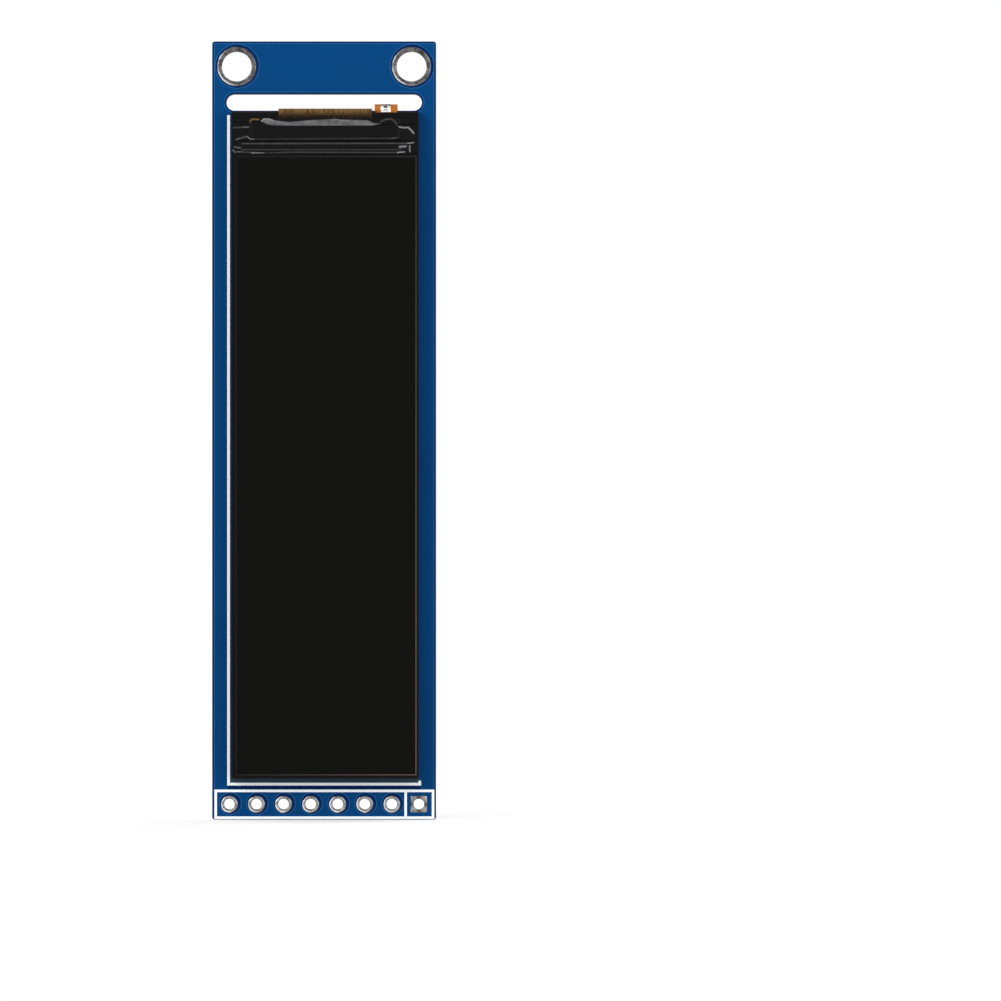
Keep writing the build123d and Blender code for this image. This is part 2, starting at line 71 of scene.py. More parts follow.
class Output:
    """What comes out of a shader node: a number or a colour at each point of a surface.

    It can be reckoned with like a number, and each sum adds the Math node for it.
    """

    def __init__(self, socket):
        self.socket = socket
        self.tree = socket.id_data

    def beside(self, name):
        """Another output of the same node."""
        return Output(self.socket.node.outputs[name])

    def reckon(self, operation, *others):
        """One Math node on this output and others."""
        return shade(self.tree, "Math", dict(enumerate((self, *others))), operation=operation)

    __add__ = partialmethod(reckon, "ADD")
    __sub__ = partialmethod(reckon, "SUBTRACT")
    __mul__ = partialmethod(reckon, "MULTIPLY")
    __truediv__ = partialmethod(reckon, "DIVIDE")
    __pow__ = partialmethod(reckon, "POWER")
    __lt__ = partialmethod(reckon, "LESS_THAN")
    __gt__ = partialmethod(reckon, "GREATER_THAN")
    __abs__ = partialmethod(reckon, "ABSOLUTE")
    least = partialmethod(reckon, "MINIMUM")
    most = partialmethod(reckon, "MAXIMUM")

    def __rsub__(self, other):
        return self * -1.0 + other

    def between(self, low, high):
        """1 where the number lies between two limits, and 0 elsewhere."""
        return (self > low) * (self < high)

    def spread(self, low, high, to_low=0.0, to_high=1.0):
        """The number carried over from one span to another, and held at its ends."""
        ends = {"From Min": low, "From Max": high, "To Min": to_low, "To Max": to_high}
        return shade(self.tree, "MapRange", {"Value": self, **ends})

    def blend(self, first, second):
        """The first colour where the number is 0, the second where it is 1. A colour is an
        output, or is given in steps of 0 to 255."""
        mixed = {0: self, 6: first, 7: second}
        for entry, value in mixed.items():
            mixed[entry] = srgb(*value) if isinstance(value, tuple) else value
        return shade(self.tree, "Mix", mixed, out=2, data_type="RGBA")

    def parts(self):
        """X, Y and Z of a place or a direction."""
        x = shade(self.tree, "SeparateXYZ", {0: self})
        return x, x.beside("Y"), x.beside("Z")


def feed(entry, value):
    """Links an output to a node's input, or sets a plain value on it."""
    if isinstance(value, Output):
        value.tree.links.new(value.socket, entry)
    else:
        entry.default_value = value


def shade(tree, kind, inputs=None, out=0, **settings):
    """Adds one shader node, and returns one of its outputs."""
    made = tree.nodes.new("ShaderNode" + kind)
    for name, value in settings.items():
        setattr(made, name, value)
    for name, value in (inputs or {}).items():
        feed(made.inputs[name], value)
    return Output(made.outputs[out])


def start_material(name, roughness, specular=0.5, metallic=0.0):
    """A material with one shader, whose gloss is the same all over, and its node tree."""
    material = bpy.data.materials.new(name)
    material.use_nodes = True
    shader = material.node_tree.nodes["Principled BSDF"]
    shader.inputs["Roughness"].default_value = roughness
    shader.inputs["Specular IOR Level"].default_value = specular
    shader.inputs["Metallic"].default_value = metallic
    return material, material.node_tree


def cover(material, colour, height=None, distance=0.0, **others):
    """Gives a material its colour, a relief of 0 to 1 times a distance, and other inputs."""
    tree = material.node_tree
    entries = tree.nodes["Principled BSDF"].inputs
    if height is not None:
        relief = {"Height": height, "Distance": distance, "Strength": 1.0}
        others["Normal"] = shade(tree, "Bump", relief)
    for name, value in {"Base Color": colour, **others}.items():
        feed(entries[name], value)
    return material


def start_group(name, entries, exits):
    """An empty shader group, what comes into it, and the inputs of its end."""
    group = bpy.data.node_groups.new(name, "ShaderNodeTree")
    for entry in entries:
        group.interface.new_socket(entry, in_out="INPUT", socket_type="NodeSocketFloat")
    for result, kind in exits:
        group.interface.new_socket(result, in_out="OUTPUT", socket_type="NodeSocket" + kind)
    start = group.nodes.new("NodeGroupInput")
    given = [Output(start.outputs[entry]) for entry in entries]
    return group, given, group.nodes.new("NodeGroupOutput").inputs


def make_grain():
    """Fine grain: uneven clouds and small bumps, each at a scale of its own."""
    exits = (("Cloud", "Float"), ("Bumps", "Float"))
    group, scales, end = start_group("fine_grain", ("Cloud Scale", "Bump Scale"), exits)
    place = shade(group, "TexCoord", out="Object")
    for (result, _), scale, detail in zip(exits, scales, (3.0, 2.0)):
        noise = {"Vector": place, "Scale": scale, "Detail": detail}
        feed(end[result], shade(group, "TexNoise", noise))
    return group


fine_grain = make_grain()


def grain(tree, cloud_scale, bump_scale):
    """Places the grain group, and returns its clouds and its bumps."""
    scales = {"Cloud Scale": cloud_scale, "Bump Scale": bump_scale}
    cloud = shade(tree, "Group", scales, node_tree=fine_grain)
    return cloud, cloud.beside("Bumps")


def make_blue_mask():
    """Blue solder mask over copper, darker where there is none, with a painted highlight over
    copper edges.

    Tone is 0 in a narrow groove, painted darker there as shade, 0.4 on bare laminate, 1 on
    copper and 1.5 on a copper edge, whose paler blue is a painted highlight.
    """
    exits = (("Color", "Color"), ("Bumps", "Float"))
    group, (tone,), end = start_group("blue_mask", ("Tone",), exits)
    cloud, bumps = grain(group, 90.0, 1500.0)
    copper = cloud.blend((0, 62, 118), (2, 72, 129))
    colour = tone.least(1.0).blend((0, 36, 86), copper)
    # Tone above 1 blends in the paler blue of a painted highlight on copper edges.
    edge = (tone - 1.0).most(0.0) * 2.0
    feed(end["Color"], edge.blend(colour, (42, 104, 164)))
    feed(end["Bumps"], bumps)
    return group


blue_mask = make_blue_mask()
mm = 0.001


def box_of(node):
    """The low and the high corner of a node's box, in millimetres."""
    return [np.array(corner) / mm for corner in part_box(node)]


board_low, board_high = box_of("printed_circuit_board")
front_face, rear_face = board_low[1], board_high[1]
slot_z, slot_straight, slot_end = -3.37, 8.4, 0.775
copper_start, painted_edge_highlight = (0.14, 0.18), (0.17, 0.24)
display_foot, shaded_foot, bare_foot = -66.7, -67.2, -67.9
layer_pitch = 0.2244


def copper_tone(x, depth, z):
    """The mask's tone: the copper stops short of the outline and of the slot, with a painted
    highlight on its edge. A strip in front below the display has no copper and is painted
    darker as shade, and the second value marks the display's painted shadow just below it."""
    (_, _, foot), (right, _, top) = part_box("printed_circuit_board")
    across = abs(x)
    inside = (right - across).least(top - z).least(z - foot)
    past = (across - slot_straight * mm).most(0.0)
    above = z - slot_z * mm
    outside_slot = (past * past + above * above) ** 0.5 - slot_end * mm
    near = inside.least(outside_slot) * (1 / mm)
    tone = near.spread(*copper_start, to_low=0.1) + near.between(*painted_edge_highlight) * 0.35
    front = (depth < 0.8 * mm) * (across < 9.0 * mm)
    # Painted shade: the strip below the display gets the darkest tone, darker than bare laminate.
    bare = front * z.between(bare_foot * mm, display_foot * mm)
    return tone * (1.0 - bare), front * z.between(shaded_foot * mm, display_foot * mm)


def board_material():
    """Mask on the two faces, and the laminate's layers of glass cloth on the side walls."""
    material, tree = start_material("solder_mask_and_laminate", 0.3, specular=0.05)
    wall = abs(shade(tree, "TexCoord", out="Normal").parts()[1]) < 0.5
    x, depth, z = shade(tree, "TexCoord", out="Object").parts()
    tone, painted_shadow = copper_tone(x, depth, z)
    mask = shade(tree, "Group", {"Tone": tone}, node_tree=blue_mask)
    cloud, bumps = grain(tree, 1400.0, 9000.0)
    weave = (depth * (2 * math.pi / (layer_pitch * mm))).reckon("SINE") * 0.25 + 0.5
    laminate = weave.blend((150, 148, 104), (186, 180, 134))
    laminate = cloud.blend(laminate, (142, 136, 92))
    skin = 1.0 - depth.between(0.06 * mm, 1.54 * mm)
    laminate = skin.blend(laminate, (12, 52, 100))
    # The display's painted shadow on the board just below it, in slate.
    masked = painted_shadow.blend(mask, (51, 74, 88))
    height = wall.blend(mask.beside("Bumps"), bumps)
    return cover(
        material, wall.blend(masked, laminate), height, 0.004 * mm, Roughness=wall * 0.45 + 0.3
    )


def finish(material, *nodes):
    """Gives nodes of the frame their material."""
    for node in nodes:
        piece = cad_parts[node]
        piece.data.materials.clear()
        piece.data.materials.append(material)


finish(board_material(), "printed_circuit_board")


# Copper tracks: etched out of the rear copper, each between two gaps down to the laminate,
# all under the solder mask, so they show as soft ridges in grooves, whose dark near halves
# are painted shade and whose pale far walls are painted highlights.
def grid_faces(rows, columns, round_rows=False, round_columns=False):
    """Quads between the neighbouring points of a grid, numbered row by row."""
    index = np.arange(rows * columns).reshape(rows, columns)
    if round_rows:
        index = np.vstack([index, index[:1]])
    if round_columns:
        index = np.hstack([index, index[:, :1]])
    quads = np.stack([index[:-1, :-1], index[:-1, 1:], index[1:, 1:], index[1:, :-1]], -1)
    return quads.reshape(-1, 4)


def joined(shapes):
    """Several shapes, each of points, faces and tones, put into one."""
    starts = np.cumsum([0] + [len(shape[0]) for shape in shapes])
    points = np.vstack([shape[0] for shape in shapes])
    faces = np.vstack([shape[1] + start for shape, start in zip(shapes, starts)])
    return points, faces, np.concatenate([shape[2] for shape in shapes])


def make_piece(name, shape, material, smooth=True):
    """Puts a shape, given in millimetres, into a mesh object at the origin."""
    points, faces, tones = shape
    mesh = bpy.data.meshes.new(name)
    faces = faces.tolist() if isinstance(faces, np.ndarray) else faces
    mesh.from_pydata((points * mm).tolist(), [], faces)
    if tones is not None:
        mesh.attributes.new("tone", "FLOAT", "POINT").data.foreach_set("value", tones)
    mesh.polygons.foreach_set("use_smooth", [smooth] * len(mesh.polygons))
    mesh.materials.append(material)
    piece = bpy.data.objects.new(name, mesh)
    bpy.context.collection.objects.link(piece)
    return piece


# The rims of thin pieces lie this far below the face that carries them.
sunk = -0.01


def ribbon(path, lines, face, way=1, closed=False):
    """A strip carried along a path of X and Z, its corners mitred.

    Each line is an offset across the path, a height off the face and a tone. The face is
    a height in Y or a function of Z, and way is 1 where it looks to +Y and -1 where to -Y.
    """
    path = np.array(path, float)
    if not closed:
        # A point more just inside each end keeps the sunk end from shading the whole run.
        steps = path[[1, -2]] - path[[0, -1]]
        inside = path[[0, -1]] + 0.05 * steps / np.linalg.norm(steps, axis=1)[:, None]
        path = np.vstack([path[:1], inside[:1], path[1:-1], inside[1:], path[-1:]])
    offset, height, tone = np.array(lines, float).T
    runs = np.diff(np.vstack([path, path[:1]]) if closed else path, axis=0)
    runs /= np.linalg.norm(runs, axis=1)[:, None]
    before = np.roll(runs, 1, axis=0) if closed else np.vstack([runs[:1], runs])
    after = runs if closed else np.vstack([runs, runs[-1:]])
    left = np.stack([-before[:, 1], before[:, 0]], 1)
    mitre = left + np.stack([-after[:, 1], after[:, 0]], 1)
    mitre /= (mitre * left).sum(1)[:, None]
    x = path[:, :1] + mitre[:, :1] * offset
    z = path[:, 1:] + mitre[:, 1:] * offset
    level = face(z) if callable(face) else np.full_like(z, face)
    y = level + way * height
    grid = np.stack([x, y, z], -1)
    if not closed:
        drop = np.array([0, way * 0.02, 0])
        grid = np.concatenate([grid[:1] - drop, grid, grid[-1:] - drop])
    rows, columns = grid.shape[:2]
    faces = grid_faces(rows, columns, round_rows=closed)
    if way < 0:
        faces = faces[:, ::-1]
    return grid.reshape(-1, 3), faces, np.tile(tone, rows)


def turned(centres, profile, face, way=1, steps=28, halves=(1, 1), power=2):
    """The same mound at several places. Its profile runs from the rim to the middle, each
    line a radius, a height off the face and a tone. The plan is a superellipse: the radius
    is scaled by the halves, and a power above 2 squares it up."""
    radius, height, tone = np.array(profile, float).T
    angle = np.linspace(0, 2 * math.pi, steps, endpoint=False)
    side, up = np.cos(angle), np.sin(angle)
    plan = (np.abs(side) ** power + np.abs(up) ** power) ** (-1 / power)
    shapes = []
    for x, z in centres:
        level = float(face(np.array(z))) if callable(face) else face
        across = x + halves[0] * radius[:, None] * plan * side
        along = z + halves[1] * radius[:, None] * plan * up
        out = np.broadcast_to((level + way * height)[:, None], across.shape)
        grid = np.stack([across, out, along], -1)
        faces = grid_faces(len(radius), steps, round_columns=True)
        if way > 0:
            faces = faces[:, ::-1]
        shapes.append((grid.reshape(-1, 3), faces, np.repeat(tone, steps)))
    return joined(shapes)


def track_lines(span, lift=0.0):
    """The section of a track between two grooves whose middles lie a span apart. The near
    half of each groove is painted dark as shade, and the wall beyond it is pale as a painted
    highlight. Lift keeps crossing tracks apart."""
    lines = []
    for middle, outside, inside in ((-span / 2, sunk, 0.02 + lift), (span / 2, 0.02 + lift, sunk)):
        lines += [
            (middle - 0.17, outside, 1.0), (middle - 0.13, 0.014 + lift, 1.4),
            (middle - 0.06, 0.01 + lift, 1.45), (middle - 0.02, 0.004 + lift, 0.0),
            (middle + 0.1, 0.004 + lift, 0.0), (middle + 0.15, inside, 0.95),
        ]
    return lines


narrow, wide = 0.53, 0.7
track_routes = (
    ([(1.81, -27.4), (1.8, -29.76), (3.5, -31.35), (3.45, -33.2)], narrow),
    ([(4.27, -36.0), (6.83, -38.5), (6.83, -42.4), (6.2, -43.1)], narrow),
    ([(4.75, -21.9), (7.45, -24.65), (7.4, -48.5), (6.1, -49.6)], wide),
    ([(0.83, -27.4), (0.84, -38.0), (-1.2, -40.2), (-2.2, -41.3)], narrow),
    ([(0.33, -27.4), (0.4, -37.5), (-1.75, -39.72), (-6.3, -39.8), (-7.66, -41.14),
      (-7.66, -54.9), (-6.4, -56.2), (-3.8, -59.0), (-3.81, -65.6)], narrow),
    ([(-0.17, -27.4), (-0.17, -35.7), (-0.85, -36.4)], narrow),
    ([(-1.17, -27.4), (-1.17, -32.4), (-0.95, -33.4)], narrow),
    ([(-1.67, -27.4), (-1.8, -37.5), (-3.1, -38.85), (-6.45, -38.85), (-8.25, -40.5),
      (-8.25, -55.3), (-6.35, -57.3), (-6.36, -65.6)], narrow),
    ([(-6.6, -41.0), (-7.07, -41.5), (-7.07, -54.3), (-1.25, -60.1), (-1.27, -65.6)], narrow),
    ([(5.42, -50.3), (5.48, -64.95), (4.36, -66.5)], narrow),
    ([(2.2, -43.4), (3.35, -45.25), (3.2, -46.9)], narrow),
    ([(2.1, -43.9), (0.9, -45.4), (0.7, -46.2)], narrow),
    ([(3.1, -50.3), (3.2, -64.8), (1.85, -66.4)], narrow),
    ([(0.3, -50.7), (0.28, -52.1), (-0.55, -53.0), (-4.2, -52.95), (-4.95, -52.2),
      (-5.05, -50.4)], narrow),
    ([(-2.95, -50.4), (-2.85, -51.0)], narrow),
    ([(-4.9, -44.3), (-3.7, -45.4), (-1.55, -45.55)], narrow),
)
vias = [
    (3.45, -33.22), (4.27, -36.0), (-0.85, -36.4), (-0.95, -33.45),
    (-2.1, -44.65), (-6.2, -45.4), (-2.85, -51.35), (-1.45, -45.6),
]
# In the two via profiles, tones above 1 are painted highlights on the rims, and the low tones in
# the rings and middles are painted shade.
via_profile = (
    (0.4, sunk, 1.0), (0.37, 0.014, 1.2), (0.34, 0.014, 1.2), (0.32, 0.006, 0.1),
    (0.25, 0.006, 0.1), (0.22, 0.03, 1.3), (0.19, 0.032, 1.1), (0.12, 0.03, 0.9),
    (0.09, 0.012, 0.2), (0.001, 0.01, 0.1),
)
filled_via = ((0.16, sunk, 1.0), (0.12, 0.006, 0.3), (0.001, 0.004, 0.0))
bare_areas = (
    (
        [(-1.35, -27.7), (-1.4, -37.6), (-3.0, -39.2)],
        [(-0.02, -27.7), (-0.02, -37.6), (-1.7, -39.3)],
    ),
    ([(-1.6, -39.12), (-6.35, -39.12)], [(-1.6, -39.6), (-6.35, -39.6)]),
    ([(1.5, -43.8), (-1.7, -43.85)], [(0.1, -45.5), (-1.5, -45.35)]),
)


def bare_patch(first, second):
    """A flat area without copper between two edges that run side by side."""
    edges = np.array([first, second], float)
    inner = edges + 0.2 * np.sign(edges[::-1] - edges)
    grid = np.stack([edges[0], inner[0], inner[1], edges[1]], 1)
    heights = np.array([-0.002, 0.0015, 0.0015, -0.002])
    y = np.broadcast_to(rear_face + heights, grid.shape[:2])
    points = np.stack([grid[..., 0], y, grid[..., 1]], -1)
    faces = grid_faces(*grid.shape[:2])
    return points.reshape(-1, 3), faces, np.tile([0.8, 0.4, 0.4, 0.8], len(first))


def own_tone(tree):
    """The tone that a mesh carries at each of its points."""
    return shade(tree, "Attribute", out="Fac", attribute_name="tone")


def mask_material():
    """The mask over the tracks, coloured by the tone of each line."""
    material, tree = start_material("solder_mask_over_tracks", 0.28, specular=0.05)
    mask = shade(tree, "Group", {"Tone": own_tone(tree)}, node_tree=blue_mask)
    return cover(material, mask, mask.beside("Bumps"), 0.004 * mm)


track_shapes = [
    ribbon(path, track_lines(span, lift=0.0006 * order), rear_face)
    for order, (path, span) in enumerate(track_routes)
]
over_tracks = [turned(vias, via_profile, rear_face), turned([(3.45, -38.6)], filled_via, rear_face)]
patches = [bare_patch(*edges) for edges in bare_areas]
masked = mask_material()
board_tracks = make_piece("board_tracks", joined(patches + track_shapes + over_tracks), masked)
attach(board_tracks, "module")


# Plated holes: two for screws and eight for a header. Hot tin has levelled unevenly over
# their copper rings and barrels, and each ring stands in a groove in the copper round it.
def tin_material(name, dark, light, scale, specks, toned=False):
    """Uneven tin between two greys, with a share of dark specks where flux has stained it.
    Where it is toned, the tone paints light: 0 is painted dark as shade, as in a crease, and
    above 1 it carries a painted glint."""
    material, tree = start_material(name, 0.26, metallic=1.0)
    cloud, bumps = grain(tree, scale, 6000.0)
    colour = cloud.spread(0.36, 0.62).blend(dark, light)
    colour = (bumps < specks).blend(colour, (82, 80, 76))
    if toned:
        tone = own_tone(tree)
        colour = tone.least(1.0).blend((46, 42, 42), colour)
        colour = (tone - 1.0).most(0.0).blend(colour, (255, 255, 252))
    return cover(material, colour, cloud, 0.03 * mm)


screw_ring_tin = tin_material(
    "screw_ring_tin", (98, 98, 100), (188, 187, 186), 1700.0, 0.37, toned=True
)
pin_ring_tin = tin_material(
    "pin_ring_tin", (196, 194, 192), (250, 249, 246), 1900.0, 0.34, toned=True
)


# The rear collars' tone, and the tone of the painted glint.
rear_tone, glint_tone = 0.9, 1.7


def plated_ring(x, z, hole, outer, seed, painted_front_shade, square=False):
    """One closed tube with a domed collar on each face, its rim uneven by a few sines. Its tones
    are painted light: the front is painted darker as shade, each collar carries a painted glint
    on one side, and a square one is painted dark along its sides, over its whole front and the
    outer half of its rear collar, keeping painted highlights at its corners. The rims are
    darker and uneven."""
    mid, dome = (hole + outer) / 2, 0.065
    collar = (
        (hole, -0.02), (hole + 0.03, 0.035), ((hole + mid) / 2, dome), (mid, dome),
        ((mid + outer) / 2, 0.055), (outer - 0.03, 0.03), (outer, -0.004), (outer - 0.01, -0.03),
        (hole + 0.07, -0.03),
    )
    section = np.array(
        [(radius, rear_face + height) for radius, height in collar]
        + [(radius, front_face - height) for radius, height in collar[::-1]]
    )
    angle = np.linspace(0, 2 * math.pi, 72, endpoint=False)
    share = ((section[:, :1] - hole) / (outer - hole)).clip(0, 1)
    wobble = sum(
        0.011 * math.cos(seed * wave * 1.7) * np.sin(wave * angle + seed * wave)
        for wave in (2, 3, 5, 7)
    )
    radius = section[:, :1] + share * wobble
    if square:
        corner = 1 / np.maximum(np.abs(np.cos(angle)), np.abs(np.sin(angle))) ** 0.92
        radius = radius * (1 + share * (corner - 1))
    depth = np.broadcast_to(section[:, 1:], radius.shape)
    grid = np.stack([x + radius * np.cos(angle), depth, z + radius * np.sin(angle)], -1)
    faces = grid_faces(*radius.shape, round_rows=True, round_columns=True)
    rims = np.isin(section[:, :1], (hole, outer, outer - 0.01))
    ragged = 0.35 + 0.3 * np.sin(9 * angle + seed) * np.sin(5 * angle - seed)
    in_front = section[:, 1:] < (front_face + rear_face) / 2
    # A painted glint: lower left as seen from the front, upper right as seen from the rear.
    lit_side = np.where(in_front, 1.25, 0.75) * math.pi
    glint = np.cos((angle - lit_side) / 2) ** 10
    outside = (section[:, :1] > mid) & ~(in_front & square)
    tone = np.where(in_front, painted_front_shade, rear_tone)
    tone = tone + (glint_tone - tone) * glint * outside
    tone = np.where(rims, ragged, tone)
    if square:
        # Painted shade along a square pad's sides, leaving its corners bright.
        painted_dark_sides = (outside | in_front) * np.abs(np.cos(2 * angle)) ** 3
        tone = tone * (1 - 0.75 * painted_dark_sides)
    return grid.reshape(-1, 3), faces, tone.reshape(-1)


mounting_low, mounting_high = box_of("mounting_hole_plating")
mounting_outer = (mounting_high[2] - mounting_low[2]) / 2
mounting_x = mounting_high[0] - mounting_outer
header_low, header_high = box_of("header_hole_plating")
pin_row = (header_low[2] + header_high[2]) / 2
header_outer = (header_high[2] - header_low[2]) / 2
mounting_radius, pin_radius, pin_pitch = 1.4, 0.5, 2.54
pin_x = [(3.5 - index) * pin_pitch for index in range(8)]

# Each ring's last number is the painted shade of its front.
mounting_rings = make_piece(
    "mounting_rings",
    joined([
        plated_ring(side * mounting_x, 0, mounting_radius, mounting_outer, 3 + side, 0.3)
        for side in (-1, 1)
    ]),
    screw_ring_tin,
)
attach(mounting_rings, "module")
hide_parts("mounting_hole_plating")

# Each ring's last number is the painted shade of its front.
header_rings = make_piece(
    "header_rings",
    joined([
        plated_ring(x, pin_row, pin_radius, header_outer, index + 1, 0.36, square=index == 0)
        for index, x in enumerate(pin_x)
    ]),
    pin_ring_tin,
)
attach(header_rings, "module")
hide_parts("header_hole_plating")


def ring_groove(inner):
    """The groove round a ring, as a flat band painted dark as shade inside a low lip whose pale
    tone is a painted highlight.
    """
    return (
        (inner + 0.28, sunk, 1.0), (inner + 0.24, 0.012, 1.35), (inner + 0.19, 0.012, 1.35),
        (inner + 0.17, 0.003, 0.0), (inner - 0.03, 0.003, 0.0), (inner - 0.06, sunk, 0.0),
    )


grooves = []
# Each groove is set a little off its ring, up and to the right as seen from its face, to lay its
# painted shade and highlight unevenly round the ring.
for face, way in ((front_face, -1), (rear_face, 1)):
    places = [(x - way * 0.09, pin_row + 0.06) for x in pin_x[1:]]
    grooves.append(turned(places, ring_groove(header_outer), face, way, 48))
    places = [(side * mounting_x - way * 0.05, 0.03) for side in (-1, 1)]
    grooves.append(turned(places, ring_groove(mounting_outer), face, way, 64))
hole_grooves = make_piece("hole_grooves", joined(grooves), masked)
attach(hole_grooves, "module")


# Printed ink: white epoxy ink, screened over the mask: the outline of the display and the
# header box in front, and the header box, part outlines and plain numbers behind.
ink_height = 0.045


def both_sides(left):
    """A section across a path, whose right half mirrors its left."""
    return [*left, *((-offset, height, tone) for offset, height, tone in left[::-1])]


def inked(path, width, face=rear_face, way=1, closed=False):
    """A printed line along a path, with a steep edge at each side."""
    edge = ((-width / 2, sunk, 1.0), (-width / 2 + 0.012, ink_height, 1.0))
    return ribbon(path, both_sides(edge), face, way, closed)


def box_path(left, right, low, high):
    """The corners of an upright box in X and Z."""
    return [(left, low), (right, low), (right, high), (left, high)]


def ink_material():
    """Slightly uneven white ink, satin, lifted a little by a painted glow."""
    material, tree = start_material("white_ink", 0.5, specular=0.3)
    cloud, bumps = grain(tree, 1800.0, 9000.0)
    colour = cloud.blend((240, 246, 250), (254, 255, 255))
    # A painted glow: a faint white emission that brightens the ink.
    glow = {"Emission Color": (1, 1, 1, 1), "Emission Strength": 0.14}
    return cover(material, colour, bumps, 0.006 * mm, **glow)


ink = ink_material()
box_line, frame_line, part_line, connector_line = 0.25, 0.27, 0.165, 0.19
display_outline = [(-8.96, -4.56), (-8.96, -67.32), (8.97, -67.32), (8.97, -67.0)]
front_ink = [
    inked(box_path(-10.17, 10.22, -70.47, -67.95), box_line, front_face, -1, closed=True),
    inked([(7.65, -70.47), (7.65, -67.95)], box_line, front_face, -1),
    inked(display_outline, frame_line, front_face, -1),
]
front_print = make_piece("front_print", joined(front_ink), ink, smooth=False)
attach(front_print, "module")

capacitor_x, capacitor_row = (5.55, 3.22, -2.89, -5.18), -42.5
resistor_x, resistor_row = (5.48, 3.19, -2.94, -5.24), -48.6
regulator_x, transistor_x, connector_x = 0.14, 0.28, 0.08
packages = ((regulator_x, capacitor_row), (transistor_x, resistor_row))


def rounded_half(x, z, side, reach=1.47, wall=0.78, corner=0.35):
    """Half of an outline, open towards the middle of the part, with two rounded corners."""
    turn = np.linspace(0, math.pi / 2, 6)
    across = wall - corner + corner * np.cos(turn)
    along = z + side * (reach - corner + corner * np.sin(turn))
    half = [(wall, z + side * 0.2), *zip(across, along)]
    return [(x + away, up) for away, up in half] + [(x - away, up) for away, up in half[::-1]]


rear_ink = [
    inked(box_path(-10.26, 10.26, -70.5, -67.87), box_line, closed=True),
    inked([(7.73, -70.5), (7.73, -67.87)], box_line),
    inked([(regulator_x - 0.3, -41.72), (regulator_x + 0.3, -41.72)], 0.07),
    inked([(9.4, -65.85), (9.2, -66.08)], 0.15),
]
outlines = [rounded_half(x, capacitor_row, side) for x in capacitor_x for side in (-1, 1)]
bracket = ((-0.68, 0.37), (-0.68, 1.42), (0.68, 1.42), (0.68, 0.37))
outlines += [
    [(x + across, resistor_row + side * up) for across, up in bracket]
    for x in resistor_x
    for side in (-1, 1)
]
hook = ((1.64, 0.72), (1.64, -0.82), (0.56, -0.82))
outlines += [
    [(x + side * across, row + up) for across, up in hook]
    for x, row in packages
    for side in (-1, 1)
]
rear_ink += [inked(path, part_line) for path in outlines]
rear_ink += [
    inked(path, connector_line)
    for path in (
        [(2.35, -20.92), (4.56, -20.92), (4.56, -21.2)],
        [(4.52, -22.5), (4.52, -22.9)],
        [(4.5, -23.08), (4.5, -23.5)],
        [(4.5, -24.5), (4.5, -24.8)],
        [(4.56, -24.99), (4.56, -26.12), (2.08, -26.12)],
        [(-2.18, -20.92), (-4.5, -20.92), (-4.5, -21.3)],
        [(-4.42, -22.75), (-4.42, -22.95)],
        [(-4.38, -23.1), (-4.38, -23.3)],
        [(-2.03, -26.12), (-4.45, -26.12), (-4.45, -25.0)],
    )
]
for place, radius in (((-2.92, -27.0), 0.43), ((-4.09, -41.96), 0.12)):
    dot = ((radius, sunk, 1), (radius - 0.012, ink_height, 1), (0.001, ink_height, 1))
    rear_ink.append(turned([place], dot, rear_face))
rear_print = make_piece("rear_print", joined(rear_ink), ink, smooth=False)
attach(rear_print, "module")


figure_height = 0.73


def make_figures(name, words, face, material):
    """Plain numbers on a face that looks to +Y, from just below it to the ink's height.

    Each word is a text, its place in X and Z, its height of figure and its turn. The face is
    a height in Y or a function of Z. A figure stands 0.73 high at a size of 1.
    """
    points, faces, count = [], [], 0
    for text, x, z, size, turn in words:
        curve = bpy.data.curves.new("figures", "FONT")
        curve.body = text
        curve.size = size / figure_height
        curve.align_x, curve.align_y = "CENTER", "CENTER"
        curve.extrude = (ink_height - sunk) / 2
        curve.offset = 0.012
        curve.resolution_u = 3
        writing = bpy.data.objects.new("figures", curve)
        mesh = bpy.data.meshes.new_from_object(writing)
        flat = np.empty(len(mesh.vertices) * 3)
        mesh.vertices.foreach_get("co", flat)
        flat = flat.reshape(-1, 3)
        flat[:, :2] -= (flat[:, :2].min(0) + flat[:, :2].max(0)) / 2
        across = flat[:, 0] * math.cos(turn) - flat[:, 1] * math.sin(turn)
        up = z + flat[:, 0] * math.sin(turn) + flat[:, 1] * math.cos(turn)
        faces += [[count + corner for corner in polygon.vertices] for polygon in mesh.polygons]
        level = face(up) if callable(face) else face
        points.append(np.stack([x - across, level + flat[:, 2] + (ink_height + sunk) / 2, up], 1))
        count += len(flat)
        bpy.data.objects.remove(writing)
        bpy.data.curves.remove(curve)
        bpy.data.meshes.remove(mesh)
    return make_piece(name, (np.vstack(points), faces, None), material, smooth=False)


words = [(f"{pin:02d}", x, -66.33, 1.18, math.pi / 2) for pin, x in enumerate(pin_x, 1)]
for numbers, places, row in (
    (("04", "05", "02", "06", "03"), (5.4, 3.08, -0.06, -2.93, -5.49), capacitor_row + 2.31),
    (("24", "26", "23", "20", "25"), (5.4, 3.13, 0.15, -2.83, -5.26), resistor_row + 2.24),
):
    words += [(number, x, row, 1.2, math.pi) for number, x in zip(numbers, places)]
board_numbers = make_figures("board_numbers", words, rear_face, ink)
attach(board_numbers, "module")


# Display: the glass and films of the panel over a moulded backlight frame, glued to the
# board. From outside it is a black slab with the thin steps of its layers round the rim.
def plain_material(
    name, dark, light, roughness, specular, scales, bumps_mm, metallic=0.0, contrast=(0.0, 1.0)
):
    """One finish in two near colours, clouded and grained at two scales."""
    material, tree = start_material(name, roughness, specular, metallic)
    cloud, bumps = grain(tree, *scales)
    colour = cloud.spread(*contrast).blend(dark, light)
    return cover(material, colour, bumps, bumps_mm * mm)


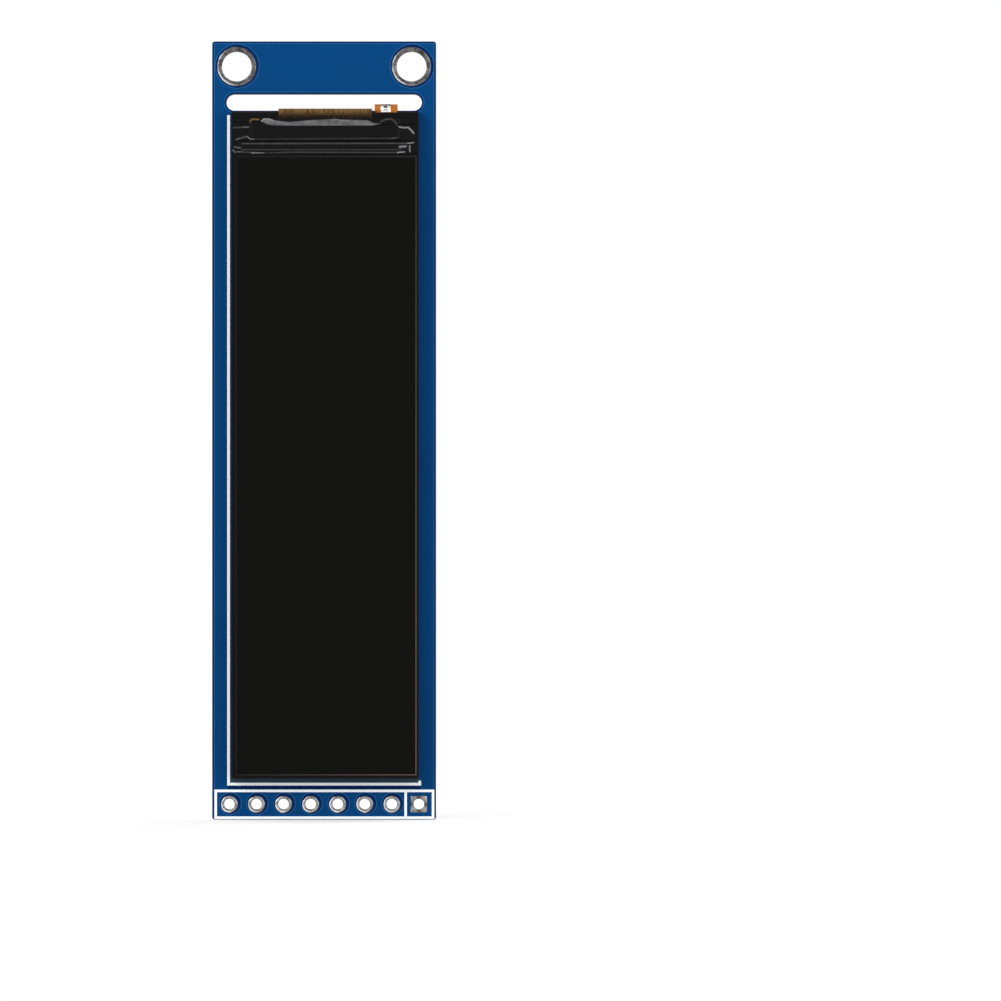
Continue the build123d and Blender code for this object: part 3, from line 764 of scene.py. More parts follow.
finish(
    plain_material("clear_film", (214, 218, 220), (232, 236, 238), 0.25, 0.4, (300, 4000), 0.002),
    "display_adhesive", "light_guide", "lower_prism_film", "upper_prism_film",
)
finish(
    plain_material("white_film", (226, 229, 231), (244, 246, 247), 0.5, 0.3, (300, 6000), 0.002),
    "reflector_film", "diffuser_film",
)
finish(
    plain_material("black_frame", (10, 10, 12), (22, 22, 25), 0.45, 0.25, (800, 7000), 0.005),
    "backlight_frame",
)
finish(
    plain_material("black_rim_tape", (9, 9, 11), (20, 20, 24), 0.5, 0.2, (900, 6000), 0.004),
    "rim_tape",
)
finish(
    plain_material("display_glass", (3, 3, 4), (10, 9, 10), 0.1, 0.1, (150, 900), 0.0004),
    "tft_glass", "filter_glass",
)
finish(
    plain_material("front_polarizer", (4, 4, 3), (8, 8, 7), 0.2, 0.07, (60, 700), 0.0006),
    "rear_polarizer", "front_polarizer",
)
finish(
    plain_material("lamp_housing", (236, 232, 206), (250, 246, 226), 0.4, 0.4, (900, 5000), 0.004),
    "backlight_leds",
)
finish(
    plain_material("driver_silicon", (62, 64, 74), (84, 86, 98), 0.2, 0.5, (600, 5000), 0.001),
    "driver_chip",
)


def bead_material():
    """Clear glue, coloured as a painted highlight that dims to black towards the upper left."""
    material, tree = start_material("glue_bead_painted_highlight", 0.5, specular=0.1)
    x, _, z = shade(tree, "TexCoord", out="Object").parts()
    # Painted highlight: brighter towards the lower right of the front.
    bead_highlight = x.spread(-9.0 * mm, 8.0 * mm, to_low=0.05) * z.spread(-8.5 * mm, -66.0 * mm, to_low=0.2)
    return cover(material, bead_highlight.blend((14, 13, 13), (92, 80, 73)))


face_low, face_high = box_of("front_polarizer")
bead_lines = (
    (-0.05, sunk, 1), (-0.035, 0.08, 1), (-0.01, 0.17, 1), (0.01, 0.192, 1), (0.06, 0.192, 1),
    (0.08, 0.15, 1),
)
face_path = box_path(face_low[0], face_high[0], face_low[2], face_high[2])
# The bead's colour is a painted highlight of the polarizer's edge.
polarizer_bead = make_piece(
    "polarizer_bead",
    ribbon(face_path, bead_lines, face_high[1], -1, closed=True),
    bead_material(),
)
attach(polarizer_bead, "module")


# Shading tape: thin black film pressed over the flex's bond and the driver chip. It bridges
# their steps softly, is crimped at both ends, and its upper lip curls up. Painted highlights
# lie along the lip and on the creases.
tape_low, tape_high = box_of("shading_tape")
chip_low, chip_high = box_of("driver_chip")
glass_face = box_of("tft_glass")[0][1]
flex_thick, tape_lift = 0.1, 0.055


def smooth_step(value, start, end):
    """0 before start, 1 after end, and a soft S between them."""
    share = np.clip((value - start) / (end - start), 0, 1)
    return share * share * (3 - 2 * share)


# Each crease is a path of X and Z, its width, its height and how far it is lightened by a
# painted highlight. A negative share is the brown of the flex's corner, which shows through.
creases = (
    ([(-8.2, -6.9), (-7.2, -6.61), (-6.87, -6.88), (-6.5, -6.87)], 0.05, 0.03, 0.2),
    ([(-7.2, -6.61), (-6.87, -6.88), (-6.5, -6.87)], 0.04, 0.01, 0.35),
    ([(-6.5, -6.88), (6.6, -6.81), (6.9, -6.74)], 0.06, 0.02, 0.07),
    ([(6.2, -6.82), (6.85, -6.76)], 0.05, 0.01, 0.16),
    ([(-7.6, -7.3), (7.85, -7.27)], 0.055, 0.02, 0.1),
    ([(7.85, -7.27), (8.4, -7.2)], 0.05, 0.02, 0.4),
    ([(-7.7, -7.86), (7.3, -7.87)], 0.05, 0.015, 0.06),
    ([(-7.75, -8.08), (-5.2, -8.2), (-3.0, -8.1), (7.1, -8.14), (7.6, -8.05)], 0.05, 0.02, 0.09),
    ([(-6.75, -8.19), (-5.6, -8.19)], 0.05, 0.01, 0.6),
    ([(6.9, -8.13), (7.55, -8.07)], 0.05, 0.01, 0.5),
    ([(7.1, -7.6), (7.65, -7.55)], 0.09, 0.02, 0.3),
    ([(8.06, -7.49), (8.03, -7.75), (8.08, -8.05)], 0.05, 0.03, 0.45),
    ([(-8.4, -7.6), (-7.83, -7.7)], 0.05, 0.02, 0.2),
    ([(-8.5, -7.9), (-8.3, -8.15)], 0.05, 0.02, 0.35),
    ([(-8.17, -8.06), (-7.7, -8.09)], 0.05, 0.02, 0.22),
    ([(-8.45, -5.8), (-7.07, -5.74)], 0.05, 0.02, 0.1),
    ([(-7.58, -5.75), (-7.07, -5.74)], 0.05, 0.02, 0.26),
    ([(-6.92, -5.25), (-6.72, -4.99), (-6.1, -5.03)], 0.07, 0.02, -0.8),
    ([(-5.83, -5.19), (-5.61, -4.99), (-5.2, -4.97), (-4.78, -5.12)], 0.05, 0.03, 0.5),
    ([(5.37, -5.25), (5.8, -5.02), (6.38, -5.0), (6.63, -5.2), (6.84, -5.53)], 0.07, 0.05, 0.09),
    ([(7.05, -5.71), (7.5, -5.8), (7.9, -5.77), (8.26, -6.11), (8.4, -6.31)], 0.06, 0.05, 0.5),
)
# The top and foot of the band along the lip that carries a painted highlight; the lip also curls up
# between them.
band_top = (
    (-5.83, -5.19), (-5.61, -4.98), (-5.2, -4.95), (-4.78, -5.1), (-3.3, -5.27), (-1.25, -5.1),
    (1.14, -4.97), (1.74, -5.05), (4.1, -5.1), (4.66, -5.36), (5.3, -5.42),
)
band_foot = ((-5.83, -5.2), (-5.4, -5.44), (-4.98, -5.56), (-3.3, -5.6), (4.4, -5.6), (5.3, -5.46))


def near_line(x, z, path, width):
    """1 on a path of straight runs, falling off with the distance from it as a bell."""
    nearest = np.full(x.shape, 100.0)
    for (start_x, start_z), (end_x, end_z) in zip(path, path[1:]):
        run_x, run_z = end_x - start_x, end_z - start_z
        along = ((x - start_x) * run_x + (z - start_z) * run_z) / (run_x**2 + run_z**2)
        along = along.clip(0, 1)
        away = np.hypot(x - start_x - along * run_x, z - start_z - along * run_z)
        nearest = np.minimum(nearest, away)
    return np.exp(-((nearest / width) ** 2))


def tape_shape(columns=400, rows=100, thickness=0.04):
    """A sheet over X and Z: its depth follows glass, flex and chip, plus folds and creases.

    The front grid is laid over the steps, the rear grid lies one thickness behind it.
    """
    u, v = np.meshgrid(np.linspace(0, 1, columns), np.linspace(0, 1, rows))
    x = tape_low[0] + u * (tape_high[0] - tape_low[0])
    z = tape_low[2] + v * (tape_high[2] - 0.03 + 0.02 * np.sin(2.3 * x) - tape_low[2])
    on_chip = smooth_step(z, chip_high[2] + 0.24, chip_high[2] + 0.02)
    ends = smooth_step(x, chip_low[0] - 0.35, chip_low[0] + 0.1) * smooth_step(
        x, chip_high[0] + 0.35, chip_high[0] - 0.1
    )
    on_flex = smooth_step(z, -6.98, -6.72) * smooth_step(x, -7.0, -6.6) * smooth_step(x, 7.2, 6.8)
    rise = flex_thick * on_flex + (chip_high[1] - chip_low[1]) * on_chip * (0.45 + 0.55 * ends)
    folds = 0.012 * np.sin(3.1 * x + 2 * z) + 0.01 * np.sin(7.3 * x - 3 * z)
    top, foot = np.interp(x, *zip(*band_top)), np.interp(x, *zip(*band_foot))
    lip_highlight = smooth_step(z, foot - 0.02, foot + 0.03) * smooth_step(z, top + 0.02, top - 0.03)
    lip_highlight = lip_highlight * (x > band_top[0][0]) * (x < band_top[-1][0])
    # Painted highlight: a band along the lip, and below, thin lines on the creases.
    tone = 0.215 * lip_highlight * (0.95 + 0.12 * np.sin(1.7 * x + 9 * z))
    curl = 0.12 * smooth_step(z, foot - 0.1, top)
    for path, width, height, share in creases:
        crease = near_line(x, z, path, width)
        curl = curl + height * crease
        tone = np.where(np.abs(share * crease) > np.abs(tone), share * crease, tone)
    front = glass_face - tape_lift - rise - 0.5 * np.abs(folds) - curl
    front = np.maximum(front, tape_low[1] - 0.02)
    grid_front = np.stack([x, front, z], -1).reshape(-1, 3)
    grid_back = grid_front + np.array([0, thickness, 0])
    faces = grid_faces(rows, columns)
    total = rows * columns
    index = np.arange(total).reshape(rows, columns)
    edge = np.concatenate([index[0], index[1:, -1], index[-1, -2::-1], index[-2:0:-1, 0]])
    following = np.roll(edge, -1)
    walls = np.stack([edge, edge + total, following + total, following], -1)
    points = np.vstack([grid_front, grid_back])
    faces = np.vstack([faces, faces[:, ::-1] + total, walls])
    return points, faces, np.tile(tone.reshape(-1), 2)


def tape_material():
    """Black satin film, lightened by painted highlights at its creases and along the lip that curls
    up.
    """
    material, tree = start_material("shading_tape", 0.42, specular=0.09)
    tone = own_tone(tree)
    cloud, bumps = grain(tree, 1500.0, 5200.0)
    # Tone above 0 blends in a painted highlight.
    light = tone.most(0.0) * cloud.spread(0.35, 0.6, 0.75, 1.2)
    brown = tone.least(0.0) * -1.0
    colour = light.blend((9, 9, 10), (205, 205, 209))
    colour = brown.blend(colour, (128, 106, 66))
    return cover(material, colour, bumps, 0.006 * mm)


draped_tape = make_piece("draped_tape", tape_shape(), tape_material())
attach(draped_tape, "module")
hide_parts("shading_tape")


# Lamps' flex: orange polyimide over copper. Its tail folds back through the slot, and two
# tinned pads lie across the fold.
finish(
    plain_material(
        "orange_polyimide", (142, 66, 16), (196, 116, 34), 0.3, 0.2, (1600, 5000), 0.005,
        contrast=(0.36, 0.6),
    ),
    "led_flex",
)
lamp_high = box_of("led_flex")[1]
lamp_fold, lamp_front, lamp_rear, lamp_crest = 0.55, -0.88, lamp_high[1], lamp_high[2]


def fold_strip(marks, edges=(5.32, 5.36, 5.56, 5.6, 5.92, 5.96, 6.2, 6.24), thickness=0.02):
    """A tinned strip over the fold. Each mark is an angle in degrees and the tone of the
    strip's middle: 0 to 90 goes over the front bend, 90 to 180 over the rear one, and
    beyond them the strip runs straight down at the same length for a degree."""
    angle, tone = np.array(marks, float).T
    down = np.radians(np.maximum(-angle, 0) + np.maximum(angle - 180, 0)) * lamp_fold
    turn = np.radians(angle.clip(0, 180))[:, None]
    middle = np.where(turn <= math.pi / 2, lamp_front + lamp_fold, lamp_rear - lamp_fold)
    radius = lamp_fold + np.where(np.isin(edges, (edges[0], edges[-1])), -0.01, thickness)
    y = middle - np.cos(turn) * radius
    z = lamp_crest - lamp_fold + np.sin(turn) * radius - down[:, None]
    grid = np.stack([np.broadcast_to(edges, y.shape), y, z], -1)
    inner = np.isin(edges, (edges[3], edges[4]))
    tones = 1 - (1 - tone[:, None]) * inner
    return grid.reshape(-1, 3), grid_faces(*y.shape)[:, ::-1], tones.reshape(-1)


front_marks = [
    (-20, 1), (-1, 1), (0, 0), (4, 0), (6, 1), (13, 1), (20, 1), (22, 0), (32, 0), (42, 0),
    (44, 1), (53, 1), (62, 1), (71, 1), (80, 1),
]
rear_marks = [(143, 0), (151, 0), (159, 0), (168, 0), (176, 0)]
lamp_pads = make_piece(
    "lamp_pads",
    joined([fold_strip(front_marks), fold_strip(rear_marks), fold_strip([(181, 1), (206, 1)])]),
    pin_ring_tin,
)
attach(lamp_pads, "module")


# Display flex: amber polyimide on rolled copper, bonded to the glass, folded sharply
# through the slot, wide behind it and narrow on to the connector. Etched hatching and
# traces show through the film.
flex_high = box_of("display_flex")[1]
head_face = 1.82
ramp_top, ramp_foot, ramp_ease = -13.095, -19.6, 0.258
ramp_slope = (flex_high[1] - head_face) / (ramp_top - ramp_foot)
hatch_pitch, hatch_hole = 0.5, 0.31
hatched_zones = (
    (-4.07, 4.1, -4.48, -6.25),
    (1.42, 4.1, -6.2, -8.6),
    (2.93, 4.1, -9.4, -9.85),
    (-0.45, 0.1, -6.2, -7.3),
    (-0.26, 0.45, -7.84, -10.6),
    (-4.07, -2.07, -6.2, -9.85),
)


def flex_face(z):
    """The flex's rear face: flat, then a straight ramp with eased ends up to the mouth."""
    def eased(way_in):
        middle = (way_in + ramp_ease) ** 2 / (4 * ramp_ease)
        return np.where(way_in < -ramp_ease, 0, np.where(way_in > ramp_ease, way_in, middle))

    return head_face + ramp_slope * (eased(ramp_top - z) - eased(ramp_foot - z))


def flex_material():
    """Gold film over copper, hatched with round holes beside the traces, brown on the fold
    and the tail where the copper is left out. Painted shade darkens the fold towards its foot
    and darkens its crest."""
    material, tree = start_material("amber_polyimide", 0.34, specular=0.08)
    place = shade(tree, "TexCoord", out="Object")
    x, y, z = place.parts()
    cloud, bumps = grain(tree, 500.0, 5200.0)
    gold = cloud.blend((240, 182, 76), (250, 200, 98))
    steps = [(way / (hatch_pitch * mm)).reckon("FRACT") for way in (x + z, x - z)]
    reach = [abs(step - 0.5) ** 5.0 for step in steps]
    holes = reach[0] + reach[1] < hatch_hole**5
    hatched = None
    for left, right, top, foot in hatched_zones:
        zone = x.between(left * mm, right * mm) * z.between(foot * mm, top * mm)
        hatched = hatched.most(zone) if hatched else zone
    colour = (holes * hatched).blend(gold, (66, 40, 8))
    # Painted shade: the crest of the fold is darker.
    crest_shade = holes.blend((150, 116, 48), (84, 58, 18))
    colour = (z > -4.48 * mm).blend(colour, crest_shade)
    strip = x.between(-0.42 * mm, 0.56 * mm)
    tail = z < strip.spread(0.0, 1.0, -10.37 * mm, -10.62 * mm)
    brown = cloud.blend((60, 32, 0), (78, 46, 4))
    brown = strip.blend(brown, (78, 54, 2))
    rim = abs(x - connector_x * mm) > 2.12 * mm
    colour = tail.blend(colour, rim.blend(brown, (120, 96, 44)))
    stretched = shade(tree, "Mapping", {0: place, 2: (0, 0.5, 0), 3: (5200, 700, 900)})
    scratches = shade(tree, "TexNoise", {"Vector": stretched, "Scale": 1.0, "Detail": 3.0})
    # Painted shade: the front of the fold darkens towards its foot.
    fold = z.spread(-4.7 * mm, -4.05 * mm).blend((22, 16, 10), (132, 101, 60))
    fold = scratches.spread(0.46, 0.62, to_high=0.8).blend(fold, (60, 40, 16))
    return cover(material, (y < 1.2 * mm).blend(colour, fold), bumps, 0.005 * mm)


finish(flex_material(), "display_flex")
finish(
    plain_material("stiffener_film", (60, 34, 2), (84, 54, 8), 0.3, 0.15, (500, 5000), 0.005),
    "flex_stiffener",
)
stiffener_high = box_of("flex_stiffener")[1]


def trace_lines(tone, half=0.086, gap=0.12):
    """The section of one copper trace under the film, with a dark gap at each side."""
    return both_sides((
        (-half - gap - 0.01, sunk, 0), (-half - gap, 0.006, 0),
        (-half - 0.005, 0.006, 0), (-half + 0.01, 0.016, tone),
    ))


def tail_face(z):
    """The flex's rear face, and below its end the stiffener's."""
    return np.where(z < stiffener_high[2], stiffener_high[1], flex_face(z))


def tail_run(x_top, x_mouth, start):
    """A trace down the tail, with points where the ramp bends and where the traces fan."""
    step = stiffener_high[2]
    bends = [-12.8, -13.1, -13.4, -19.3, -19.6, -19.9, step + 0.02, step - 0.02, -20.75]
    return [(x_top, z) for z in bends if z < start] + [(x_mouth, -21.3), (x_mouth, -21.6)]


trace_tops = (1.82, 1.4, 1.02, 0.73, -0.61, -0.92, -1.21, -1.7)
trace_tones = (1, 1.4, 1.5, 1, 1, 1.5, 1.1, 1)
contact_pitch = 0.5
contact_x = [connector_x + (3.5 - index) * contact_pitch for index in range(8)]
trace_heads = (
    [(6.45, -8.32), (5.64, -9.03), (2.68, -9.03), (1.82, -9.9)],
    [(1.4, -10.2)],
    [(0.39, -6.46), (1.02, -7.07)],
    [(0.49, -7.46), (0.73, -7.72)],
    [(-0.47, -7.89), (-0.61, -8.05)],
    [(-0.66, -7.36), (-0.92, -7.65)],
    [(-0.97, -6.0), (-1.21, -6.85)],
    [(-1.72, -6.84), (-1.7, -7.1)],
)
trace_shapes = []
for head, top, tone, mouth_x in zip(trace_heads, trace_tops, trace_tones, contact_x):
    path = head + tail_run(top, mouth_x, head[-1][1])
    trace_shapes.append(ribbon(path, trace_lines(tone), tail_face))
trace_ends = [head[0] for head in trace_heads if len(head) > 1]
via_rings = (
    (0.31, sunk, 0), (0.3, 0.008, 0), (0.2, 0.008, 0), (0.18, 0.02, 1),
    (0.09, 0.02, 1), (0.07, 0.012, 0.1), (0.001, 0.012, 0.1),
)
copper_side = [(7.32, -4.75), (7.32, -9.6), (6.95, -9.96), (2.95, -9.96), (2.55, -10.15)]
pin_pricks = ((0.11, sunk, 0.3), (0.1, 0.004, 0.1), (0.001, 0.004, 0.0))
prick_places = [(5.51, -8.32), (6.89, -9.41), (5.03, -9.63)]
trace_shapes += [
    ribbon(copper_side, both_sides(((-0.04, sunk, 0.2), (-0.03, 0.005, 0.25))), flex_face),
    turned(trace_ends, via_rings, flex_face, steps=20),
    turned(prick_places, pin_pricks, flex_face, steps=16),
]


def trace_material():
    """Copper under the film, seen as bright gold, and the dark gaps beside it."""
    material, tree = start_material("traces_under_film", 0.3, specular=0.15)
    tone = own_tone(tree)
    cloud, bumps = grain(tree, 900.0, 5200.0)
    gold = cloud.blend((240, 188, 100), (254, 218, 132))
    colour = tone.least(1.0).blend((38, 19, 2), gold)
    deep = ((tone - 1.0) * 2.0).most(0.0)
    return cover(material, deep.blend(colour, (222, 152, 84)), bumps, 0.004 * mm)


flex_traces = make_piece("flex_traces", joined(trace_shapes), trace_material())
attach(flex_traces, "module")

figures = [(text, x, -18.44, 0.88, 0) for text, x in (("1", 1.54), ("8", -1.54))]
tail_numbers = make_figures("tail_numbers", figures, flex_face, ink)
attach(tail_numbers, "module")
marks = [
    inked([(2.12, -17.82), (2.12, -19.18)], 0.09, flex_face),
    inked([(-2.0, -17.0), (-2.0, -19.18)], 0.09, flex_face),
    inked([(-0.36, -20.62), (0.45, -20.62)], 0.13, tail_face),
    inked([(1.76, -18.28), (1.6, -18.08)], 0.14, flex_face),
]
tail_marks = make_piece("tail_marks", joined(marks), ink, smooth=False)
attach(tail_marks, "module")


# Slide-lock connector: ivory moulded housing, a dark grey slider with two ears, eight
# tinned spring contacts and two tinned anchors, all soldered to the board.
ivory = plain_material(
    "ivory_moulding", (226, 219, 205), (240, 234, 224), 0.42, 0.3, (500, 5200), 0.006
)
slider_grey = plain_material(
    "grey_moulding", (50, 53, 59), (108, 111, 116), 0.45, 0.15, (1500, 6000), 0.01
)
rim_grey = plain_material(
    "moulding_rim", (70, 74, 79), (126, 129, 133), 0.45, 0.15, (1200, 6000), 0.008
)
bright_tin = tin_material("bright_tin", (150, 150, 146), (234, 234, 228), 2400.0, 0.3)
contact_tin = tin_material("contact_tin", (212, 212, 210), (252, 252, 250), 2400.0, 0.24)
dull_tin = plain_material(
    "dull_tin", (208, 210, 202), (230, 231, 225), 0.32, 0.5, (1100, 5000), 0.006, metallic=1.0
)
finish(ivory, "connector_housing")
finish(slider_grey, "connector_slider")
finish(contact_tin, "connector_contacts")
finish(dull_tin, "connector_anchors")
finish(bright_tin, "solder_lands")

slider_face = box_of("connector_slider")[1][1]
ear_low, ear_high, ear_inner, ear_outer = -22.43, -21.19, 2.4, 4.78
ear_rims = []
for side in (-1, 1):
    left, right = sorted((connector_x + side * ear_inner, connector_x + side * ear_outer))
    for inset, half in ((0.09, 0.06), (0.33, 0.03)):
        path = box_path(left + inset, right - inset, ear_low + inset, ear_high - inset)
        lines = both_sides(((-half - 0.015, sunk, 1), (-half, 0.012, 1)))
        ear_rims.append(ribbon(path, lines, slider_face, closed=True))
slider_rims = make_piece("slider_rims", joined(ear_rims), rim_grey)
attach(slider_rims, "slider")

rib = ((1.0, sunk, 1), (1.0, 0.85, 1), (0.85, 1.0, 1), (0.001, 1.02, 1))
rib_x = [x + contact_pitch / 2 for x in contact_x] + [contact_x[-1] - contact_pitch / 2]
rib_places = [(x, -25.33) for x in rib_x]
ribs = turned(rib_places, rib, rear_face, steps=20, halves=(0.13, 0.19), power=5)
housing_ribs = make_piece("housing_ribs", ribs, ivory)
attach(housing_ribs, "module")


# Small parts on the rear: four ceramic capacitors, four thick-film resistors and two
# three-lead packages, set in paste on their lands and soldered in an oven.
ceramic = plain_material(
    "tan_ceramic", (150, 116, 70), (190, 152, 100), 0.5, 0.3, (2600, 9000), 0.006
)
alumina = plain_material(
    "white_alumina", (222, 222, 216), (238, 238, 232), 0.6, 0.3, (1500, 9000), 0.006
)
glaze = plain_material(
    "black_glaze", (22, 22, 24), (36, 36, 38), 0.3, 0.4, (1800, 7000), 0.004
)
package = plain_material(
    "package_moulding", (34, 32, 32), (48, 46, 45), 0.55, 0.15, (1400, 12000), 0.01
)
for number in range(1, 5):
    finish(ceramic, f"capacitor_{number}_body")
    finish(alumina, f"resistor_{number}_body")
    finish(glaze, f"resistor_{number}_coating")
    finish(bright_tin, f"capacitor_{number}_ends", f"resistor_{number}_ends")
finish(package, "regulator_body", "transistor_body")
finish(contact_tin, "regulator_leads", "transistor_leads")


# Mask openings: the mask is left out round each soldered part, so the bare laminate shows
# between the white outline and the solder. It is painted near black, as it also stands for
# the shade round the parts.
def openings(places, half_x, half_z, power=6):
    """Thin plates of bare laminate, painted near black as shade too, the squarer the higher the
    power.
    """
    plate = ((1.0, -0.002, 1), (0.97, 0.005, 1), (0.001, 0.005, 1))
    return turned(places, plate, rear_face, steps=32, halves=(half_x, half_z), power=power)


lead_steps = ((-0.95, 1.17), (0.95, 1.17), (0.0, -1.17))
lead_places = [(x + across, row + up) for x, row in packages for across, up in lead_steps]
anchor_places = [(connector_x + side * 3.34, -24.12) for side in (-1, 1)]
bare_laminate_and_shade = plain_material(
    "bare_laminate_and_shade", (3, 12, 24), (9, 24, 42), 0.6, 0.1, (1500, 6000), 0.008
)
bare_shapes = [
    openings([(x, capacitor_row) for x in capacitor_x], 0.7, 1.38, power=5),
    openings([(x, resistor_row) for x in resistor_x], 0.6, 1.34, power=12),
    openings(lead_places, 0.47, 0.58),
    openings([(connector_x, -26.3)], 2.06, 1.14, power=12),
    openings([(connector_x + side * 3.3, -23.52) for side in (-1, 1)], 1.14, 2.5, power=16),
]
mask_openings = make_piece("mask_openings", joined(bare_shapes), bare_laminate_and_shade)
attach(mask_openings, "module")


# Solder: reflowed paste, drawn up to each metal end as a concave slope, and pooled round
# the leads' feet. It is bright, with painted shade in the creases where it meets the metal.
def chip_fillet(x, z, way, half, rise, reach=0.52, seed=0):
    """Solder at one end of a chip: a slope that rises as a power of the way in, narrower
    and lower towards its two sides, and wavy along its outer edge."""
    u, v = np.meshgrid(np.linspace(-1, 1, 15), np.linspace(0, 1, 12))
    wave = 0.03 * np.sin(5 * u + seed) + 0.02 * np.sin(11 * u - seed)
    across = x + u * half * (1 - 0.12 * (1 - v) ** 2)
    along = z + way * (reach * (1 - v) * (1 - 0.25 * np.abs(u) ** 3) + wave * (1 - v))
    height = 0.07 + rise * v**2.4 * (1 - 0.75 * np.abs(u) ** 4)
    height = height + 0.015 * np.sin(9 * u + 7 * v + seed)
    border = (np.abs(u) == 1) | (v == 0)
    height = np.where(border, sunk, height)
    # Painted shade: the border and the top, where the solder meets the metal, and a band across its
    # middle are darker.
    tone = np.where(border | (v > 0.85), 0.12, 1.0) * np.where((v > 0.4) & (v < 0.5), 0.5, 1.0)
    grid = np.stack([across, rear_face + height, along], -1)
    faces = grid_faces(*u.shape)
    return grid.reshape(-1, 3), faces[:, ::-1] if way < 0 else faces, tone.reshape(-1)


solder_shapes = [
    chip_fillet(x, row + way * 0.79, way, half, rise, seed=index + way)
    for row, places, half, rise in (
        (capacitor_row, capacitor_x, 0.5, 0.62),
        (resistor_row, resistor_x, 0.49, 0.36),
    )
    for index, x in enumerate(places)
    for way in (-1, 1)
]
# In the pools, the low tones at the rims and round the leads are painted shade.
pool = (
    (1.0, sunk, 0.1), (0.96, 0.05, 0.5), (0.85, 0.11, 1), (0.7, 0.13, 1),
    (0.58, 0.14, 0.9), (0.5, 0.13, 0.2), (0.001, 0.12, 1),
)
foot_pool = (
    (1.0, sunk, 0.1), (0.92, 0.12, 0.9), (0.75, 0.21, 1), (0.45, 0.235, 1), (0.001, 0.24, 1),
)
rim_pool = (
    (1.0, sunk, 0.1), (0.97, 0.12, 0.8), (0.92, 0.2, 1),
    (0.87, 0.2, 1), (0.83, 0.14, 0.4), (0.8, sunk, 0.2),
)
foot_places = [(x, -26.98) for x in contact_x]
solder_shapes += [
    turned(lead_places, pool, rear_face, steps=32, halves=(0.37, 0.47), power=5),
    turned(foot_places, foot_pool, rear_face, steps=24, halves=(0.16, 0.42), power=3.5),
    turned(anchor_places, rim_pool, rear_face, steps=64, halves=(0.93, 1.64), power=9),
]
solder = tin_material("solder", (176, 175, 168), (250, 250, 246), 2300.0, 0.33, toned=True)
solder_joints = make_piece("solder_joints", joined(solder_shapes), solder)
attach(solder_joints, "module")

coating_face = box_of("resistor_1_coating")[1][1]
codes = [(text, x, resistor_row, 0.5, math.pi) for text, x in zip("2830", resistor_x)]
resistor_codes = make_figures("resistor_codes", codes, coating_face, ink)
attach(resistor_codes, "module")


# Floor, light and camera: a seamless white floor under the standing module, soft lamps on
# all sides, and a long lens level with the middle of the picture.
white = (1, 1, 1, 1)
plain_floor, fading_floor = 0.16, 0.3


def seen_white(tree):
    """The camera's rays, and 1 for rays that come by gloss or through something clear."""
    camera = shade(tree, "LightPath", out="Is Camera Ray")
    return camera, camera.beside("Is Glossy Ray").most(camera.beside("Is Transmission Ray"))


def floor_material():
    """White for the camera and in reflections, still taking the module's soft shadow."""
    material = bpy.data.materials.new("white_floor")
    material.use_nodes = True
    tree = material.node_tree
    tree.nodes.clear()
    camera, mirrored = seen_white(tree)
    place = {0: shade(tree, "TexCoord", out="Object")}
    away = shade(tree, "VectorMath", place, out="Value", operation="LENGTH")
    direct = mirrored.most(camera * away.spread(plain_floor, fading_floor))
    paper = shade(tree, "BsdfDiffuse", {"Color": (0.82, 0.82, 0.82, 1)})
    glow = shade(tree, "Emission", {"Color": white, "Strength": 0.3})
    bead_highlight = shade(tree, "AddShader", {0: paper, 1: glow})
    own = shade(tree, "MixShader", {0: camera, 1: paper, 2: bead_highlight})
    bright = shade(tree, "Emission", {"Color": white, "Strength": 1.0})
    end = tree.nodes.new("ShaderNodeOutputMaterial")
    feed(end.inputs["Surface"], shade(tree, "MixShader", {0: direct, 1: own, 2: bright}))
    return material


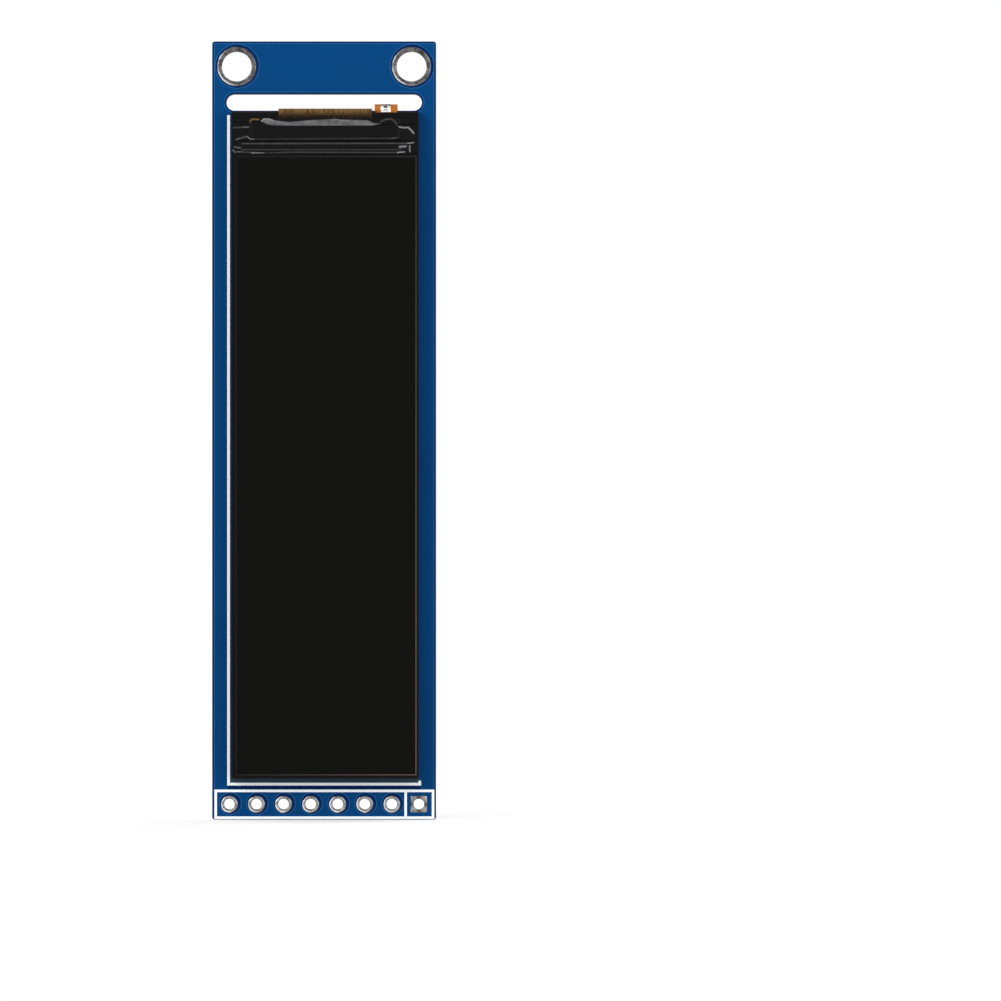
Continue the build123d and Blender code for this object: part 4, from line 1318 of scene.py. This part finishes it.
def make_floor(reach=3.0):
    """A square sheet level with the module's foot."""
    ground = cad_box[0][2]
    corners = [(x * reach, y * reach, ground) for x, y in ((-1, -1), (1, -1), (1, 1), (-1, 1))]
    mesh = bpy.data.meshes.new("floor")
    mesh.from_pydata(corners, [], [[0, 1, 2, 3]])
    mesh.materials.append(floor_material())
    floor = bpy.data.objects.new("floor", mesh)
    bpy.context.collection.objects.link(floor)
    floor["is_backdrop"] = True


def light_world(daylight):
    """White wherever it is seen directly or in gloss, and a plain level of light elsewhere."""
    world = bpy.data.worlds.new("studio")
    bpy.context.scene.world = world
    world.use_nodes = True
    background = world.node_tree.nodes["Background"].inputs
    camera, mirrored = seen_white(world.node_tree)
    feed(background["Color"], white)
    feed(background["Strength"], camera.most(mirrored) * (1 - daylight) + daylight)


def hang_lamp(name, place, size, power):
    """A square soft lamp that faces the module's middle."""
    lamp = bpy.data.lights.new(name, "AREA")
    lamp.shape = "SQUARE"
    lamp.size = size
    lamp.energy = power
    holder = bpy.data.objects.new(name, lamp)
    holder.location = place
    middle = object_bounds()[0].lerp(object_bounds()[1], 0.5)
    holder.rotation_euler = (middle - holder.location).to_track_quat("-Z", "Y").to_euler()
    bpy.context.collection.objects.link(holder)


def set_camera():
    """A long lens level with the picture's middle, where the module stands to the left."""
    scale, picture, distance = 10.66, 1001, 1.1
    origin_column, origin_row = 324.1, 66.5
    camera = bpy.data.cameras.new("camera")
    camera.lens = camera.sensor_width * distance / (picture / scale * mm)
    camera.clip_end = 20
    holder = bpy.data.objects.new("camera", camera)
    aim_x = (picture / 2 - origin_column) / scale * mm
    aim_z = (origin_row - picture / 2) / scale * mm
    holder.location = (aim_x, -distance, aim_z)
    holder.rotation_euler = (math.pi / 2, 0, 0)
    bpy.context.collection.objects.link(holder)
    bpy.context.scene.camera = holder


make_floor()
light_world(0.62)
hang_lamp("front_left", (-0.5, -0.6, 0.35), 0.35, 2.6)
hang_lamp("front_right", (0.55, -0.7, 0.15), 0.45, 1.6)
hang_lamp("rear_left", (-0.55, 0.65, 0.2), 0.4, 2.0)
hang_lamp("rear_right", (0.5, 0.6, 0.35), 0.35, 2.4)
set_camera()
bpy.context.scene.view_settings.view_transform = "Standard"
